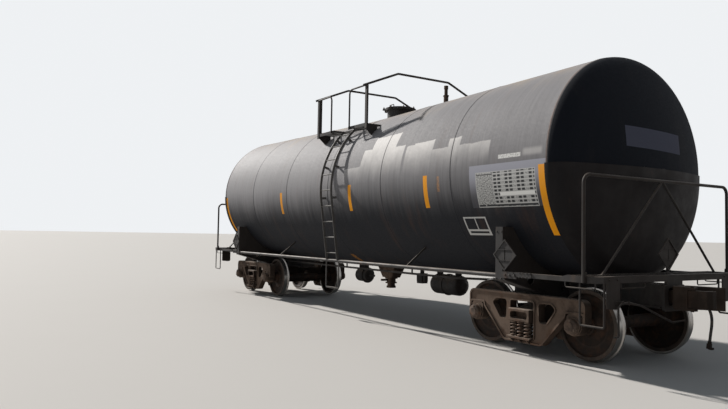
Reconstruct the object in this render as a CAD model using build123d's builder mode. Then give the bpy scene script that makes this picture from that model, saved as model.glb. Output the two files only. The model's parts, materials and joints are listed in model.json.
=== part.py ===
from build123d import *
import math
import os

# Railway tank car on two four-wheel trucks, in millimetres.
# X runs along the car towards its A end, Y across it, Z up. Heights below are above the rail
# top, and each piece is saved raised by lift, so that the flange tips stand on Z = 0.

# Running gear
wheel_r = 457
flange_r = 484
lift = flange_r - wheel_r
axle_r = 82
journal_r = 76
truck_x = 4715
half_base = 889
wheel_in_y = 677
cup_r = 124
cup_y0 = 905
cup_y1 = 1088
cap_r = 98
cap_y = 1158
roof_z = 605
frame_y = 1003
web_t = 88
rim_t = 126
frame_top = 793
seat_z = 205
seat_t = 85
opening_z = 690
bolster_half = 190
column_gap = 25
bolster_end_y = 1132
bolster_end_top = 585
bolster_end_low = 412
spring_r = 56
bowl_r = 206
plate_r = 202
bowl_floor = 652
turn_gap = 0.5
bearer_y = 635
bearer_gap = 6

# Tank: two straight halves that meet low in the middle. It rests on its underside, so that a
# larger tank grows upwards and to the sides.
tank_r = 1535
ring_x = 5567
head_depth = 450
knuckle_r = 260
tank_low = 988
axis_end_z = tank_low + tank_r
tank_top = axis_end_z + tank_r
tilt = 1.0
skin = 0.3
axis_mid_z = axis_end_z - ring_x * math.tan(math.radians(tilt))
half_len = ring_x / math.cos(math.radians(tilt))

# Underframe
sill_half = 165
sill_bot = 705
sill_top = 1005
sill_in_x = 3700
striker_x = 6300
coupler_z = 855
draw_x = 5850
draw_pin_r = 32
side_y = 1500
deck_z = 1130
sill_z0 = 1050
post_half = 66
post_top = 1690
deck_x = 5860
pipe_y = 1460
pipe_z = 1050
pipe_r = 30
post_low = pipe_z - pipe_r - 24
rail_r = 21
rail_x = 6127
rail_y = 1530
rail_z = 2325
line_r = 20
line_y = 330
line_z = 840

# Pieces round the manway sit a little towards the A end
mid_x = 130
ladder_r = tank_r + 105
ladder_half = 200
stile_w = 46
walk_z = tank_top - 418
walk_y = round(math.sqrt(tank_r ** 2 - (walk_z - 30 - axis_mid_z) ** 2), -1)
post_y = walk_y + 355
arch_half = 890
arch_z = tank_top + 597
shoulder_z = tank_top + 299
man_x = mid_x + 120
man_z = tank_top + 92
lid_y = 372
valve_x = 1740
out_x = 40
outlet_z = 690

# Hand brake and couplers
brake_y = 900
wheel_z = 1900
hand_r = 260
pin_x = 6600
pin_y = -120

os.makedirs("parts", exist_ok=True)


def save(body, name):
    with BuildPart() as raised:
        with Locations((0, 0, lift)):
            add(body.part)
    raised.part.label = name
    export_step(raised.part, f"parts/{name}.step")


def outline(rows):
    """Flat face from rows of first coordinate, second coordinate and corner radius."""
    with BuildSketch() as face:
        with BuildLine():
            FilletPolyline(*[(a, b) for a, b, r in rows], radius=[r for a, b, r in rows],
                           close=True)
        make_face()
    return face.sketch


def tank_form(grow):
    """Tank outline grown by a skin, revolved about each half's own axis."""
    c = math.cos(math.radians(tilt))
    s = math.sin(math.radians(tilt))
    lay = Plane(origin=(0, 0, axis_mid_z), x_dir=(c, 0, s), z_dir=(0, -1, 0))
    rise = tank_r - knuckle_r
    a = head_depth - knuckle_r
    crown_r = (rise ** 2 + a ** 2) / (2 * a) + knuckle_r
    cx = half_len + head_depth - crown_r
    turn = math.atan2(rise, half_len - cx)
    kr = knuckle_r + grow
    cr = crown_r + grow
    mid = (turn + math.pi / 2) / 2
    join = (half_len + kr * math.cos(turn), rise + kr * math.sin(turn))
    bulge = (half_len + kr * math.cos(mid), rise + kr * math.sin(mid))
    half = turn / 2
    with BuildPart() as body:
        with BuildSketch(lay):
            with BuildLine():
                Polyline((half_len, rise + kr), (-80, rise + kr), (-80, 0), (cx + cr, 0))
                ThreePointArc((half_len, rise + kr), bulge, join)
                ThreePointArc(join, (cx + cr * math.cos(half), cr * math.sin(half)), (cx + cr, 0))
            make_face()
        revolve(axis=Axis((0, 0, axis_mid_z), (c, 0, s)))
        split(bisect_by=Plane.YZ)
        mirror(about=Plane.YZ)
    return body.part


tank_cut = tank_form(skin)

with BuildPart() as tank:
    add(tank_form(0))
save(tank, "tank_shell")

# Half-head shields: a thick skin over the lower half of each head
with BuildPart() as shields:
    add(tank_form(14))
    add(tank_form(1), mode=Mode.SUBTRACT)
    with Locations((0, 0, axis_end_z - 20)):
        Box(14000, 4000, 2000, align=(Align.CENTER, Align.CENTER, Align.MIN), mode=Mode.SUBTRACT)
    with Locations((0, 0, axis_end_z)):
        Box(2 * ring_x - 50, 4000, 4000, mode=Mode.SUBTRACT)
    Box(14000, 2 * sill_half + 60, 2 * sill_top + 20, mode=Mode.SUBTRACT)
save(shields, "head_shields")

# Stub sills with striker and centre plate, one under each end
with BuildPart() as sills:
    sill_len = striker_x - sill_in_x
    for side in (-1, 1):
        with Locations((sill_in_x, side * (sill_half - 10), sill_bot)):
            Box(sill_len, 20, sill_top - sill_bot, align=(Align.MIN, Align.CENTER, Align.MIN))
        with Locations((sill_in_x, side * (sill_half + 25), sill_bot)):
            Box(sill_len - 60, 50, 20, align=(Align.MIN, Align.CENTER, Align.MIN))
        with BuildSketch(Plane.XZ.offset(-side * (sill_half + 8))):
            add(outline([(striker_x - 420, sill_bot + 20, 0), (striker_x - 40, sill_bot + 20, 0),
                         (striker_x - 40, sill_top, 0), (striker_x - 300, sill_top, 90)]))
        extrude(amount=8, both=True)
    with Locations((5720, 0, sill_top - 20)):
        Box(striker_x - 5720, 2 * sill_half, 20, align=(Align.MIN, Align.CENTER, Align.MIN))
    with Locations((truck_x, 0, sill_bot)):
        Box(560, 2 * sill_half, 24, align=(Align.CENTER, Align.CENTER, Align.MIN))
    with Locations((5480, 0, sill_bot)):
        Box(560, 2 * sill_half, 20, align=(Align.MIN, Align.CENTER, Align.MIN))
    with Locations((sill_in_x, 0, sill_bot)):
        Box(20, 2 * sill_half, 240, align=(Align.MIN, Align.CENTER, Align.MIN))
    with BuildSketch(Plane.YZ.offset(striker_x - 40)):
        with Locations((0, coupler_z - 16)):
            RectangleRounded(2 * sill_half + 110, 330, 40)
        with Locations((0, coupler_z)):
            RectangleRounded(270, 220, 30, mode=Mode.SUBTRACT)
    extrude(amount=40)
    with Locations((draw_x, 0, sill_bot)):
        Cylinder(draw_pin_r, sill_top - sill_bot - 1, align=(Align.CENTER, Align.CENTER, Align.MIN))
    with Locations((truck_x, 0, bowl_floor + turn_gap)):
        Cylinder(plate_r, sill_bot - bowl_floor - turn_gap,
                 align=(Align.CENTER, Align.CENTER, Align.MIN))
    mirror(about=Plane.YZ)
    add(tank_cut, mode=Mode.SUBTRACT)
save(sills, "stub_sills")

# Body bolsters: webs from the sill out to flat side posts outside the tank. Each web rises
# in a curve beside the truck, and has a hole for the train pipe and one to save weight.
with BuildPart() as bolsters:
    low = [(sill_half, sill_bot + 2, 0), (420, sill_bot + 9, 300), (720, sill_bot + 72, 300),
           (side_y, post_low, 0)]
    web = outline([*low, (side_y, post_top, 0), (900, post_top, 0), (sill_half, 1150, 0)])
    for dx in (-58, 58):
        with BuildSketch(Plane.YZ.offset(truck_x + dx)):
            add(web)
            with Locations((line_y, line_z)):
                Circle(line_r + 8, mode=Mode.SUBTRACT)
            with Locations((960, 990)):
                Circle(70, mode=Mode.SUBTRACT)
        extrude(amount=8, both=True)
    with BuildSketch(Plane.YZ.offset(truck_x)):
        add(outline([*low, (side_y, post_low + 20, 0), (720, sill_bot + 92, 300),
                     (420, sill_bot + 29, 300), (sill_half, sill_bot + 22, 0)]))
    extrude(amount=110, both=True)
    with Locations((truck_x, side_y, post_low)):
        Box(2 * post_half, 16, post_top - post_low, align=(Align.CENTER, Align.MAX, Align.MIN))
    with Locations((truck_x, side_y, post_top)):
        Box(2 * post_half, 260, 16, align=(Align.CENTER, Align.MAX, Align.MIN))
    with Locations((truck_x, bearer_y, bowl_floor + 73 + bearer_gap)):
        Box(150, 90, 90, align=(Align.CENTER, Align.CENTER, Align.MIN))
    Box(14000, 2 * (sill_half + 50), 2 * (sill_bot + 20), mode=Mode.SUBTRACT)
    mirror(about=Plane.XZ)
    mirror(about=Plane.YZ)
    add(tank_cut, mode=Mode.SUBTRACT)
save(bolsters, "body_bolsters")

# End frames: side sills, end sill, deck grating and the plates that hang from the end sill
with BuildPart() as ends:
    run_x = truck_x + post_half
    with BuildSketch(Plane.XZ.offset(-side_y)):
        add(outline([(run_x, sill_z0, 0), (striker_x, sill_z0, 0), (striker_x, deck_z, 0),
                     (deck_x, deck_z, 0), (deck_x - 80, deck_z - 22, 0), (run_x, deck_z - 22, 0)]))
    extrude(amount=10)
    with BuildSketch(Plane.XZ.offset(-side_y)):
        add(outline([(run_x, sill_z0 - 26, 0), (run_x + 268, sill_z0 - 26, 0),
                     (run_x + 196, deck_z - 22, 0), (run_x, deck_z - 22, 0)]))
        with Locations((run_x + 407, (sill_z0 + deck_z - 22) / 2)):
            RectangleRounded(224, 66, 6)
    extrude(amount=-8)
    with Locations((run_x, side_y, sill_z0)):
        Box(striker_x - run_x, 60, 10, align=(Align.MIN, Align.MAX, Align.MIN))
    with Locations((run_x, side_y, deck_z - 22)):
        Box(deck_x - run_x - 80, 60, 10, align=(Align.MIN, Align.MAX, Align.MAX))
    with Locations((striker_x, 0, sill_z0)):
        Box(12, side_y, deck_z - sill_z0, align=(Align.MAX, Align.MIN, Align.MIN))
    for z in (sill_z0, deck_z - 10):
        with Locations((striker_x, 0, z)):
            Box(70, side_y, 10, align=(Align.MAX, Align.MIN, Align.MIN))
    with Locations((deck_x, 0, sill_z0)):
        Box(12, side_y, deck_z - sill_z0 - 30, align=(Align.MIN, Align.MIN, Align.MIN))
    with Locations((striker_x, 0, sill_top)):
        Box(40, 2 * sill_half, sill_z0 - sill_top, align=(Align.MAX, Align.CENTER, Align.MIN))
    with BuildSketch(Plane.YZ.offset(striker_x - 14)):
        add(outline([(1097, sill_z0, 0), (1097, 760, 20), (1160, 745, 20), (1333, 760, 20),
                     (1333, sill_z0, 0)]))
    extrude(amount=14)
    with Locations((striker_x, side_y, sill_z0 + 10)):
        Box(84, 10, 70, align=(Align.MIN, Align.MAX, Align.MIN))
    for i in range(9):
        with Locations((deck_x + 15 + 40 * i, 0, deck_z - 30)):
            Box(6, side_y - 10, 30, align=(Align.MIN, Align.MIN, Align.MIN))
    for y in (250, 560, 870, 1180):
        with Locations((deck_x, y, deck_z - 24)):
            Box(striker_x - deck_x - 10, 6, 16, align=(Align.MIN, Align.CENTER, Align.MIN))
    mirror(about=Plane.XZ)
    mirror(about=Plane.YZ)
save(ends, "end_frames")

# End handrails: a bent pipe over each deck with a brace like the letter A
with BuildPart() as handrails:
    with BuildLine():
        FilletPolyline((rail_x, -rail_y, sill_z0 + 5), (rail_x, -rail_y, rail_z),
                       (rail_x, rail_y, rail_z), (rail_x, rail_y, sill_z0 + 5), radius=110)
    with BuildSketch(Plane(origin=(rail_x, -rail_y, sill_z0 + 5), z_dir=(0, 0, 1))):
        Circle(rail_r)
    sweep()
    foot_y = 1200
    drop = rail_z - deck_z
    lean = math.hypot(foot_y, drop)
    for side in (-1, 1):
        with BuildSketch(Plane(origin=(rail_x, side * foot_y, deck_z),
                               z_dir=(0, -side * foot_y, drop))):
            Circle(16)
        extrude(amount=lean)
        with Locations((rail_x, side * foot_y, deck_z)):
            Box(70, 110, 12, align=(Align.CENTER, Align.CENTER, Align.MIN))
        with Locations((rail_x, side * side_y, sill_z0 + 5)):
            Box(44, rail_y - side_y, 120, align=(Align.CENTER, Align.MIN if side > 0 else
                                                 Align.MAX, Align.MIN))
    Box(14000, 2 * side_y, 2 * deck_z, mode=Mode.SUBTRACT)
    mirror(about=Plane.YZ)
save(handrails, "end_handrails")

# Pipes along both sides from bolster to bolster, each braced to the tank
with BuildPart() as pipes:
    with Locations(Location((0, pipe_y, pipe_z), (0, 90, 0))):
        Cylinder(pipe_r, 2 * (truck_x - post_half))
    for bx in (mid_x - 2415, mid_x + 2415):
        with BuildSketch(Plane(origin=(bx, pipe_y, pipe_z), z_dir=(0, 1040 - pipe_y, 1385 - pipe_z))):
            Circle(16)
        extrude(amount=math.hypot(pipe_y - 1040, 1385 - pipe_z))
    mirror(about=Plane.XZ)
    add(tank_cut, mode=Mode.SUBTRACT)
save(pipes, "side_pipes")

with BuildPart() as pipe_cutter:
    for side in (-1, 1):
        with Locations(Location((0, side * pipe_y, pipe_z), (0, 90, 0))):
            Cylinder(pipe_r + skin, 2 * truck_x)

# Ladders: stiles rise straight from the pipe, then follow the tank up to the walkway
foot = (pipe_y + 10, pipe_z + 20)
hub = (0, axis_mid_z + mid_x * math.tan(math.radians(tilt)))
away = math.atan2(foot[1] - hub[1], foot[0])
touch = away + math.acos(ladder_r / math.hypot(foot[0], foot[1] - hub[1]))
crest = math.asin((walk_z - 20 - hub[1]) / ladder_r)


def on_arc(turn, radius=ladder_r):
    return (radius * math.cos(turn), hub[1] + radius * math.sin(turn))


with BuildPart() as ladders:
    straight = math.dist(foot, on_arc(touch))
    out = (stile_w / 2 * math.cos(touch), stile_w / 2 * math.sin(touch))
    for dx in (-ladder_half - 12, ladder_half):
        with BuildSketch(Plane.YZ.offset(mid_x + dx)):
            with BuildLine():
                for k in (-1, 1):
                    r = ladder_r + k * stile_w / 2
                    Line((foot[0] + k * out[0], foot[1] + k * out[1]), on_arc(touch, r))
                    ThreePointArc(on_arc(touch, r), on_arc((touch + crest) / 2, r),
                                  on_arc(crest, r))
                Line((foot[0] - out[0], foot[1] - out[1]), (foot[0] + out[0], foot[1] + out[1]))
                Line(on_arc(crest, ladder_r - stile_w / 2), on_arc(crest, ladder_r + stile_w / 2))
            make_face()
            clip = ladder_r - tank_r
            for turn in (-6, 16, 38):
                with Locations(Location(on_arc(math.radians(turn), tank_r + clip / 2), turn)):
                    Rectangle(clip + 20, 44)
        extrude(amount=12)
    for i in range(9):
        reach = 130 + 305 * i
        if reach < straight:
            y = foot[0] + (on_arc(touch)[0] - foot[0]) * reach / straight
            z = foot[1] + (on_arc(touch)[1] - foot[1]) * reach / straight
        else:
            y, z = on_arc(touch + (reach - straight) / ladder_r)
        with Locations(Location((mid_x, y, z), (0, 90, 0))):
            Cylinder(11, 2 * ladder_half + 8)
    mirror(about=Plane.XZ)
    add(tank_cut, mode=Mode.SUBTRACT)
    add(pipe_cutter.part, mode=Mode.SUBTRACT)
save(ladders, "ladders")

# Stirrups below the ladders and steps below the four corners, bent from round bar
with BuildPart() as stirrups:
    with BuildLine():
        FilletPolyline((mid_x - 240, pipe_y, pipe_z), (mid_x - 240, pipe_y, 525),
                       (mid_x + 240, pipe_y, 525), (mid_x + 240, pipe_y, pipe_z), radius=45)
    with BuildSketch(Plane(origin=(mid_x - 240, pipe_y, pipe_z), z_dir=(0, 0, -1))):
        Circle(13)
    sweep()
    with Locations((mid_x, pipe_y, 538)):
        Box(380, 60, 10)
    mirror(about=Plane.XZ)
    add(pipe_cutter.part, mode=Mode.SUBTRACT)
save(stirrups, "ladder_stirrups")

step_r = 12
step_y = side_y - 10 - step_r
with BuildPart() as steps:
    with BuildLine():
        FilletPolyline((6035, step_y, sill_z0), (6035, step_y, 556), (6372, step_y, 556),
                       (6372, step_y, deck_z - 10), radius=26)
    with BuildSketch(Plane(origin=(6035, step_y, sill_z0), z_dir=(0, 0, -1))):
        Circle(step_r)
    sweep()
    mirror(about=Plane.XZ)
    mirror(about=Plane.YZ)
save(steps, "corner_steps")

# Grab irons hung below the side sills and end sills: start and end of each bar
bars = {"side": ((5830, side_y - 9), (6262, side_y - 9)),
        "end": ((striker_x - 35, 560), (striker_x - 35, 1030))}
with BuildPart() as grabs:
    for (x0, y0), (x1, y1) in bars.values():
        with BuildLine():
            FilletPolyline((x0, y0, sill_z0), (x0, y0, 985), (x1, y1, 985), (x1, y1, sill_z0),
                           radius=25)
        with BuildSketch(Plane(origin=(x0, y0, sill_z0), z_dir=(0, 0, -1))):
            Circle(8)
        sweep()
    mirror(about=Plane.XZ)
    mirror(about=Plane.YZ)
    add(steps.part, mode=Mode.SUBTRACT)
save(grabs, "grab_irons")


def holder(plane):
    """Diamond placard holder: back plate, raised rim, two bars and a slot."""
    with BuildPart() as body:
        with BuildSketch(plane):
            Rectangle(300, 300, rotation=45)
            SlotOverall(180, 16, rotation=90, mode=Mode.SUBTRACT)
        extrude(amount=6)
        with BuildSketch(plane.offset(6)):
            Rectangle(300, 300, rotation=45)
            Rectangle(268, 268, rotation=45, mode=Mode.SUBTRACT)
            for dz in (-72, 72):
                with Locations((0, dz)):
                    Rectangle(240, 8)
        extrude(amount=12)
    return body.part


# Diamond placard holders on the side posts and over both decks
with BuildPart() as placards:
    add(holder(Plane(origin=(truck_x + 115, side_y, 1330), x_dir=(-1, 0, 0), z_dir=(0, 1, 0))))
    mirror(about=Plane.XZ)
    with Locations((striker_x - 100, 0, deck_z)):
        Box(10, 60, 250, align=(Align.CENTER, Align.CENTER, Align.MIN))
    add(holder(Plane(origin=(striker_x - 95, 0, 1385), x_dir=(0, 1, 0), z_dir=(1, 0, 0))))
    mirror(about=Plane.YZ)
save(placards, "placard_holders")

# Walkway gratings beside the manway, on both shoulders of the tank
with BuildPart() as walk:
    for i in range(9):
        with Locations((mid_x, walk_y + 20 + 40 * i, walk_z)):
            Box(2 * arch_half, 6, 30, align=(Align.CENTER, Align.MIN, Align.MAX))
    for dx in (-arch_half + 6, -590, -285, 285, 590, arch_half - 6):
        with Locations((mid_x + dx, walk_y - 40, walk_z)):
            Box(8, post_y - walk_y + 40, 30, align=(Align.CENTER, Align.MIN, Align.MAX))
    with Locations((mid_x, post_y, walk_z)):
        Box(2 * arch_half, 8, 60, align=(Align.CENTER, Align.MAX, Align.MAX))
    for dx in (-arch_half + 4, arch_half - 4):
        with BuildSketch(Plane.YZ.offset(mid_x + dx)):
            add(outline([(walk_y + 80, walk_z - 30, 0), (post_y, walk_z - 30, 0),
                         (post_y, walk_z - 90, 20), (walk_y + 80, walk_z - 330, 0)]))
        extrude(amount=4, both=True)
    with Locations((mid_x, post_y, walk_z)):
        Box(2 * 280, 480, 400, align=(Align.CENTER, Align.CENTER, Align.CENTER),
            mode=Mode.SUBTRACT)
    mirror(about=Plane.XZ)
    add(tank_cut, mode=Mode.SUBTRACT)
save(walk, "top_walkway")

# Two arched rails over the tank, on angle posts, with short rails to the ladder opening
with BuildPart() as railing:
    for sx in (-1, 1):
        x = mid_x + sx * (arch_half + 34)
        with BuildLine():
            FilletPolyline((x, -post_y - 65, shoulder_z - 25), (x, 715 - post_y, arch_z),
                           (x, post_y - 715, arch_z), (x, post_y + 65, shoulder_z - 25), radius=120)
        with BuildSketch(Plane(origin=(x, -post_y - 65, shoulder_z - 25),
                               z_dir=(0, 780, arch_z - shoulder_z + 25))):
            Circle(rail_r)
        sweep()
        for side in (-1, 1):
            with Locations((mid_x + sx * arch_half, side * post_y, walk_z - 100)):
                Box(8, 64, shoulder_z - walk_z + 100, align=(Align.MIN if sx > 0 else Align.MAX,
                    Align.MAX if side > 0 else Align.MIN, Align.MIN))
                Box(64, 8, shoulder_z - walk_z + 100, align=(Align.MIN if sx > 0 else Align.MAX,
                    Align.MIN if side > 0 else Align.MAX, Align.MIN))
            thin = post_y + 16
            with BuildLine():
                FilletPolyline((mid_x + sx * 350, side * thin, walk_z - 50),
                               (mid_x + sx * 350, side * thin, shoulder_z - 17),
                               (x, side * thin, shoulder_z - 17), radius=90)
            with BuildSketch(Plane(origin=(mid_x + sx * 350, side * thin, walk_z - 50),
                                   z_dir=(0, 0, 1))):
                Circle(16)
            sweep()
save(railing, "top_railing")

# Manway: nozzle with flange and eyebolts, and the domed lid that swings up on it
with BuildPart() as manway:
    with Locations((man_x, 0, tank_top - 358)):
        Cylinder(255, man_z - tank_top + 358, align=(Align.CENTER, Align.CENTER, Align.MIN))
    with Locations((man_x, 0, man_z)):
        Cylinder(315, 28, align=(Align.CENTER, Align.CENTER, Align.MAX))
        Cylinder(235, 150, align=(Align.CENTER, Align.CENTER, Align.MAX), mode=Mode.SUBTRACT)
    with Locations((man_x, 0, man_z - 14)):
        with PolarLocations(334, 8, start_angle=22.5):
            Box(44, 44, 24)
    for dx in (-62, 62):
        with BuildSketch(Plane.YZ.offset(man_x + dx)):
            add(outline([(250, man_z - 28, 0), (lid_y + 22, man_z - 28, 18),
                         (lid_y + 22, man_z + 38, 18), (lid_y - 22, man_z + 38, 18),
                         (340, man_z - 10, 0), (250, man_z - 10, 0)]))
        extrude(amount=8, both=True)
    with Locations((man_x, 0, man_z)):
        Cylinder(325, 200, align=(Align.CENTER, Align.CENTER, Align.MIN), mode=Mode.SUBTRACT)
    with Locations(Location((man_x, lid_y, man_z + 16), (0, 90, 0))):
        Cylinder(9, 140)
    add(tank_cut, mode=Mode.SUBTRACT)
save(manway, "manway_nozzle")

with BuildPart() as lid:
    with BuildSketch(Plane.XZ):
        with BuildLine():
            Polyline((man_x, man_z + 46), (man_x, man_z + 3), (man_x + 300, man_z + 3),
                     (man_x + 300, man_z + 25), (man_x + 240, man_z + 29))
            ThreePointArc((man_x + 240, man_z + 29), (man_x + 125, man_z + 42),
                          (man_x, man_z + 46))
        make_face()
    revolve(axis=Axis((man_x, 0, 0), (0, 0, 1)))
    with Locations((man_x, 290, man_z + 6)):
        Box(96, lid_y - 290 + 16, 20, align=(Align.CENTER, Align.MIN, Align.MIN))
    with Locations(Location((man_x, lid_y, man_z + 16), (0, 90, 0))):
        Cylinder(18, 96)
        Cylinder(9.6, 200, mode=Mode.SUBTRACT)
    with BuildLine():
        FilletPolyline((man_x - 70, -200, man_z + 30), (man_x - 70, -200, man_z + 85),
                       (man_x + 70, -200, man_z + 85), (man_x + 70, -200, man_z + 30), radius=20)
    with BuildSketch(Plane(origin=(man_x - 70, -200, man_z + 30), z_dir=(0, 0, 1))):
        Circle(9)
    sweep()
save(lid, "manway_lid")

# Relief valve on the tank top, as a stack of turned steps: radius and height
with BuildPart() as relief:
    z = tank_top - 258
    for radius, high in ((40, 215), (66, 24), (44, 140), (54, 20), (32, 120), (40, 60)):
        with Locations((valve_x, 0, z)):
            Cylinder(radius, high, align=(Align.CENTER, Align.CENTER, Align.MIN))
        z += high
    add(tank_cut, mode=Mode.SUBTRACT)
save(relief, "relief_valve")

# Bottom outlet: a skid that tapers down from the tank, then the valve and its cap
with BuildPart() as outlet:
    with BuildSketch(Plane.XY.offset(outlet_z)):
        with Locations((out_x, 0)):
            RectangleRounded(340, 260, 60)
    with BuildSketch(Plane.XY.offset(960)):
        with Locations((out_x, 0)):
            RectangleRounded(680, 320, 60)
    loft()
    z = outlet_z
    for radius, high in ((130, 26), (92, 70), (118, 24), (80, 54), (96, 40)):
        with Locations((out_x, 0, z)):
            Cylinder(radius, high, align=(Align.CENTER, Align.CENTER, Align.MAX))
        z -= high
    with Locations(Location((out_x, -150, 640), (90, 0, 0))):
        Cylinder(22, 200)
    add(tank_cut, mode=Mode.SUBTRACT)
save(outlet, "bottom_outlet")

# Air brake gear under the tank: each body is a turned profile of station and radius
cylinder_rows = [(0, 0, 0), (0, 60, 10), (40, 150, 20), (330, 150, 10), (330, 176, 4),
                 (360, 176, 4), (360, 150, 10), (420, 120, 20), (440, 24, 0), (620, 24, 0),
                 (620, 0, 0)]
reservoir_rows = [(0, 0, 0), (0, 70, 20), (70, 190, 90), (418, 190, 6), (418, 206, 4),
                  (442, 206, 4), (442, 190, 6), (790, 190, 90), (860, 70, 20), (860, 0, 0)]
for name, x0, rows, feet, half_w in (("brake_cylinder", -1720, cylinder_rows, (90, 290), 60),
                                     ("air_reservoir", 1070, reservoir_rows, (160, 700), 70)):
    with BuildPart() as vessel:
        with BuildSketch(Plane.XY.offset(640)):
            with Locations((x0, line_y)):
                add(outline(rows))
        revolve(axis=Axis((x0, line_y, 640), (1, 0, 0)))
        for dx in feet:
            with Locations((x0 + dx, line_y, 700)):
                Box(24, 2 * half_w, 320, align=(Align.CENTER, Align.CENTER, Align.MIN))
        add(tank_cut, mode=Mode.SUBTRACT)
    save(vessel, name)

with BuildPart() as control:
    with BuildSketch(Plane.XY.offset(600)):
        with Locations((620, 360)):
            RectangleRounded(180, 160, 25)
    extrude(amount=200)
    with BuildSketch(Plane.XY.offset(640)):
        with Locations((620, 360)):
            SlotOverall(310, 100)
    extrude(amount=120)
    with Locations((620, 360, 780)):
        Box(60, 60, 240, align=(Align.CENTER, Align.CENTER, Align.MIN))
    add(tank_cut, mode=Mode.SUBTRACT)
save(control, "control_valve")

# Train pipe: it ends left of the coupler at each end, as seen from the middle of the car,
# so that it changes sides under the tank. An angle cock closes each end.
cock_x = striker_x + 160
cock_len = 74
cock_dir = (math.sin(math.radians(30)), -math.cos(math.radians(30)))
with BuildPart() as train_pipe:
    with BuildLine():
        FilletPolyline((-cock_x, -line_y, line_z), (2350, -line_y, line_z), (3450, line_y, line_z),
                       (cock_x, line_y, line_z), radius=200)
    with BuildSketch(Plane(origin=(-cock_x, -line_y, line_z), z_dir=(1, 0, 0))):
        Circle(line_r)
    sweep()
    for end in (-1, 1):
        with Locations((end * (cock_x + 18), end * line_y, line_z)):
            Sphere(34)
        with BuildSketch(Plane(origin=(end * (cock_x + 18), end * line_y, line_z),
                               z_dir=(end * cock_dir[0], 0, cock_dir[1]))):
            Circle(24)
        extrude(amount=cock_len)
        with Locations((end * (cock_x + 8), end * line_y, line_z + 30)):
            Box(90, 18, 14, align=(Align.CENTER, Align.CENTER, Align.MIN))
    for x, y in ((-3600, -line_y), (-1200, -line_y), (1200, -line_y), (3560, line_y)):
        with Locations((x, y, line_z + 10)):
            Box(40, 12, 200, align=(Align.CENTER, Align.CENTER, Align.MIN))
    add(tank_cut, mode=Mode.SUBTRACT)
save(train_pipe, "brake_pipe")

# Air hose at the A end: it hangs from the angle cock, with its coupling on the free end
hose_r = 18
hose_start, hose_bend = [(cock_x + 18 + run * cock_dir[0], line_y, line_z + run * cock_dir[1])
                         for run in (cock_len, cock_len + 92)]
hose_route = [hose_start, hose_bend, (cock_x + 122, line_y + 6, 596),
              (cock_x + 113, line_y + 13, 492), (cock_x + 96, line_y + 16, 396),
              (cock_x + 86, line_y + 15, 306)]
hose_radii = []
for a, b, c in zip(hose_route, hose_route[1:], hose_route[2:]):
    u = Vector(*b) - Vector(*a)
    v = Vector(*c) - Vector(*b)
    bend = math.radians(u.get_angle(v))
    hose_radii.append(0.45 * min(u.length, v.length) / math.tan(bend / 2))
print("hose radii", [round(r) for r in hose_radii])
with BuildPart() as hose:
    with BuildLine():
        FilletPolyline(*hose_route, radius=hose_radii)
    with BuildSketch(Plane(origin=hose_start, z_dir=Vector(*hose_route[1]) - Vector(*hose_start))):
        Circle(hose_r)
    sweep()
save(hose, "air_hose_a")
hang = Vector(*hose_route[-1]) - Vector(*hose_route[-2])
with BuildPart() as gladhand:
    with BuildSketch(Plane(origin=hose_route[-1], z_dir=hang)):
        Circle(24)
    extrude(amount=34)
    with BuildSketch(Plane(origin=Vector(*hose_route[-1]) + hang.normalized() * 30,
                           x_dir=(0, 1, 0), z_dir=hang)):
        RectangleRounded(74, 44, 14)
    extrude(amount=62)
    with Locations((hose_route[-1][0] + 6, hose_route[-1][1] + 20, hose_route[-1][2] - 92)):
        Box(40, 60, 26)
save(gladhand, "gladhand_a")

# Hand brake on the B end: gear case on a post, and the wheel that turns on it
with BuildPart() as case:
    with Locations((-6180, brake_y, deck_z)):
        Box(60, 90, 620, align=(Align.CENTER, Align.CENTER, Align.MIN))
    with BuildSketch(Plane.YZ.offset(-6260)):
        with Locations((brake_y, wheel_z)):
            RectangleRounded(280, 340, 90)
    extrude(amount=110)
    with Locations(Location((-6275, brake_y, wheel_z), (0, 90, 0))):
        Cylinder(30, 30)
        Cylinder(14, 130)
save(case, "hand_brake_case")

with BuildPart() as handwheel:
    with BuildSketch(Plane(origin=(-6330, brake_y, wheel_z), x_dir=(0, 0, 1), z_dir=(0, 1, 0))):
        with Locations((hand_r, 0)):
            Circle(15)
    revolve(axis=Axis((-6330, brake_y, wheel_z), (1, 0, 0)))
    with Locations(Location((-6318, brake_y, wheel_z), (0, 90, 0))):
        Cylinder(40, 40)
        Cylinder(14.5, 200, mode=Mode.SUBTRACT)
    for i in range(3):
        with Locations(Location((-6324, brake_y, wheel_z), (120 * i + 30, 0, 0))):
            with Locations((0, 0, 36)):
                Box(14, 26, hand_r - 44, align=(Align.CENTER, Align.CENTER, Align.MIN))
save(handwheel, "hand_brake_wheel")

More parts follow.
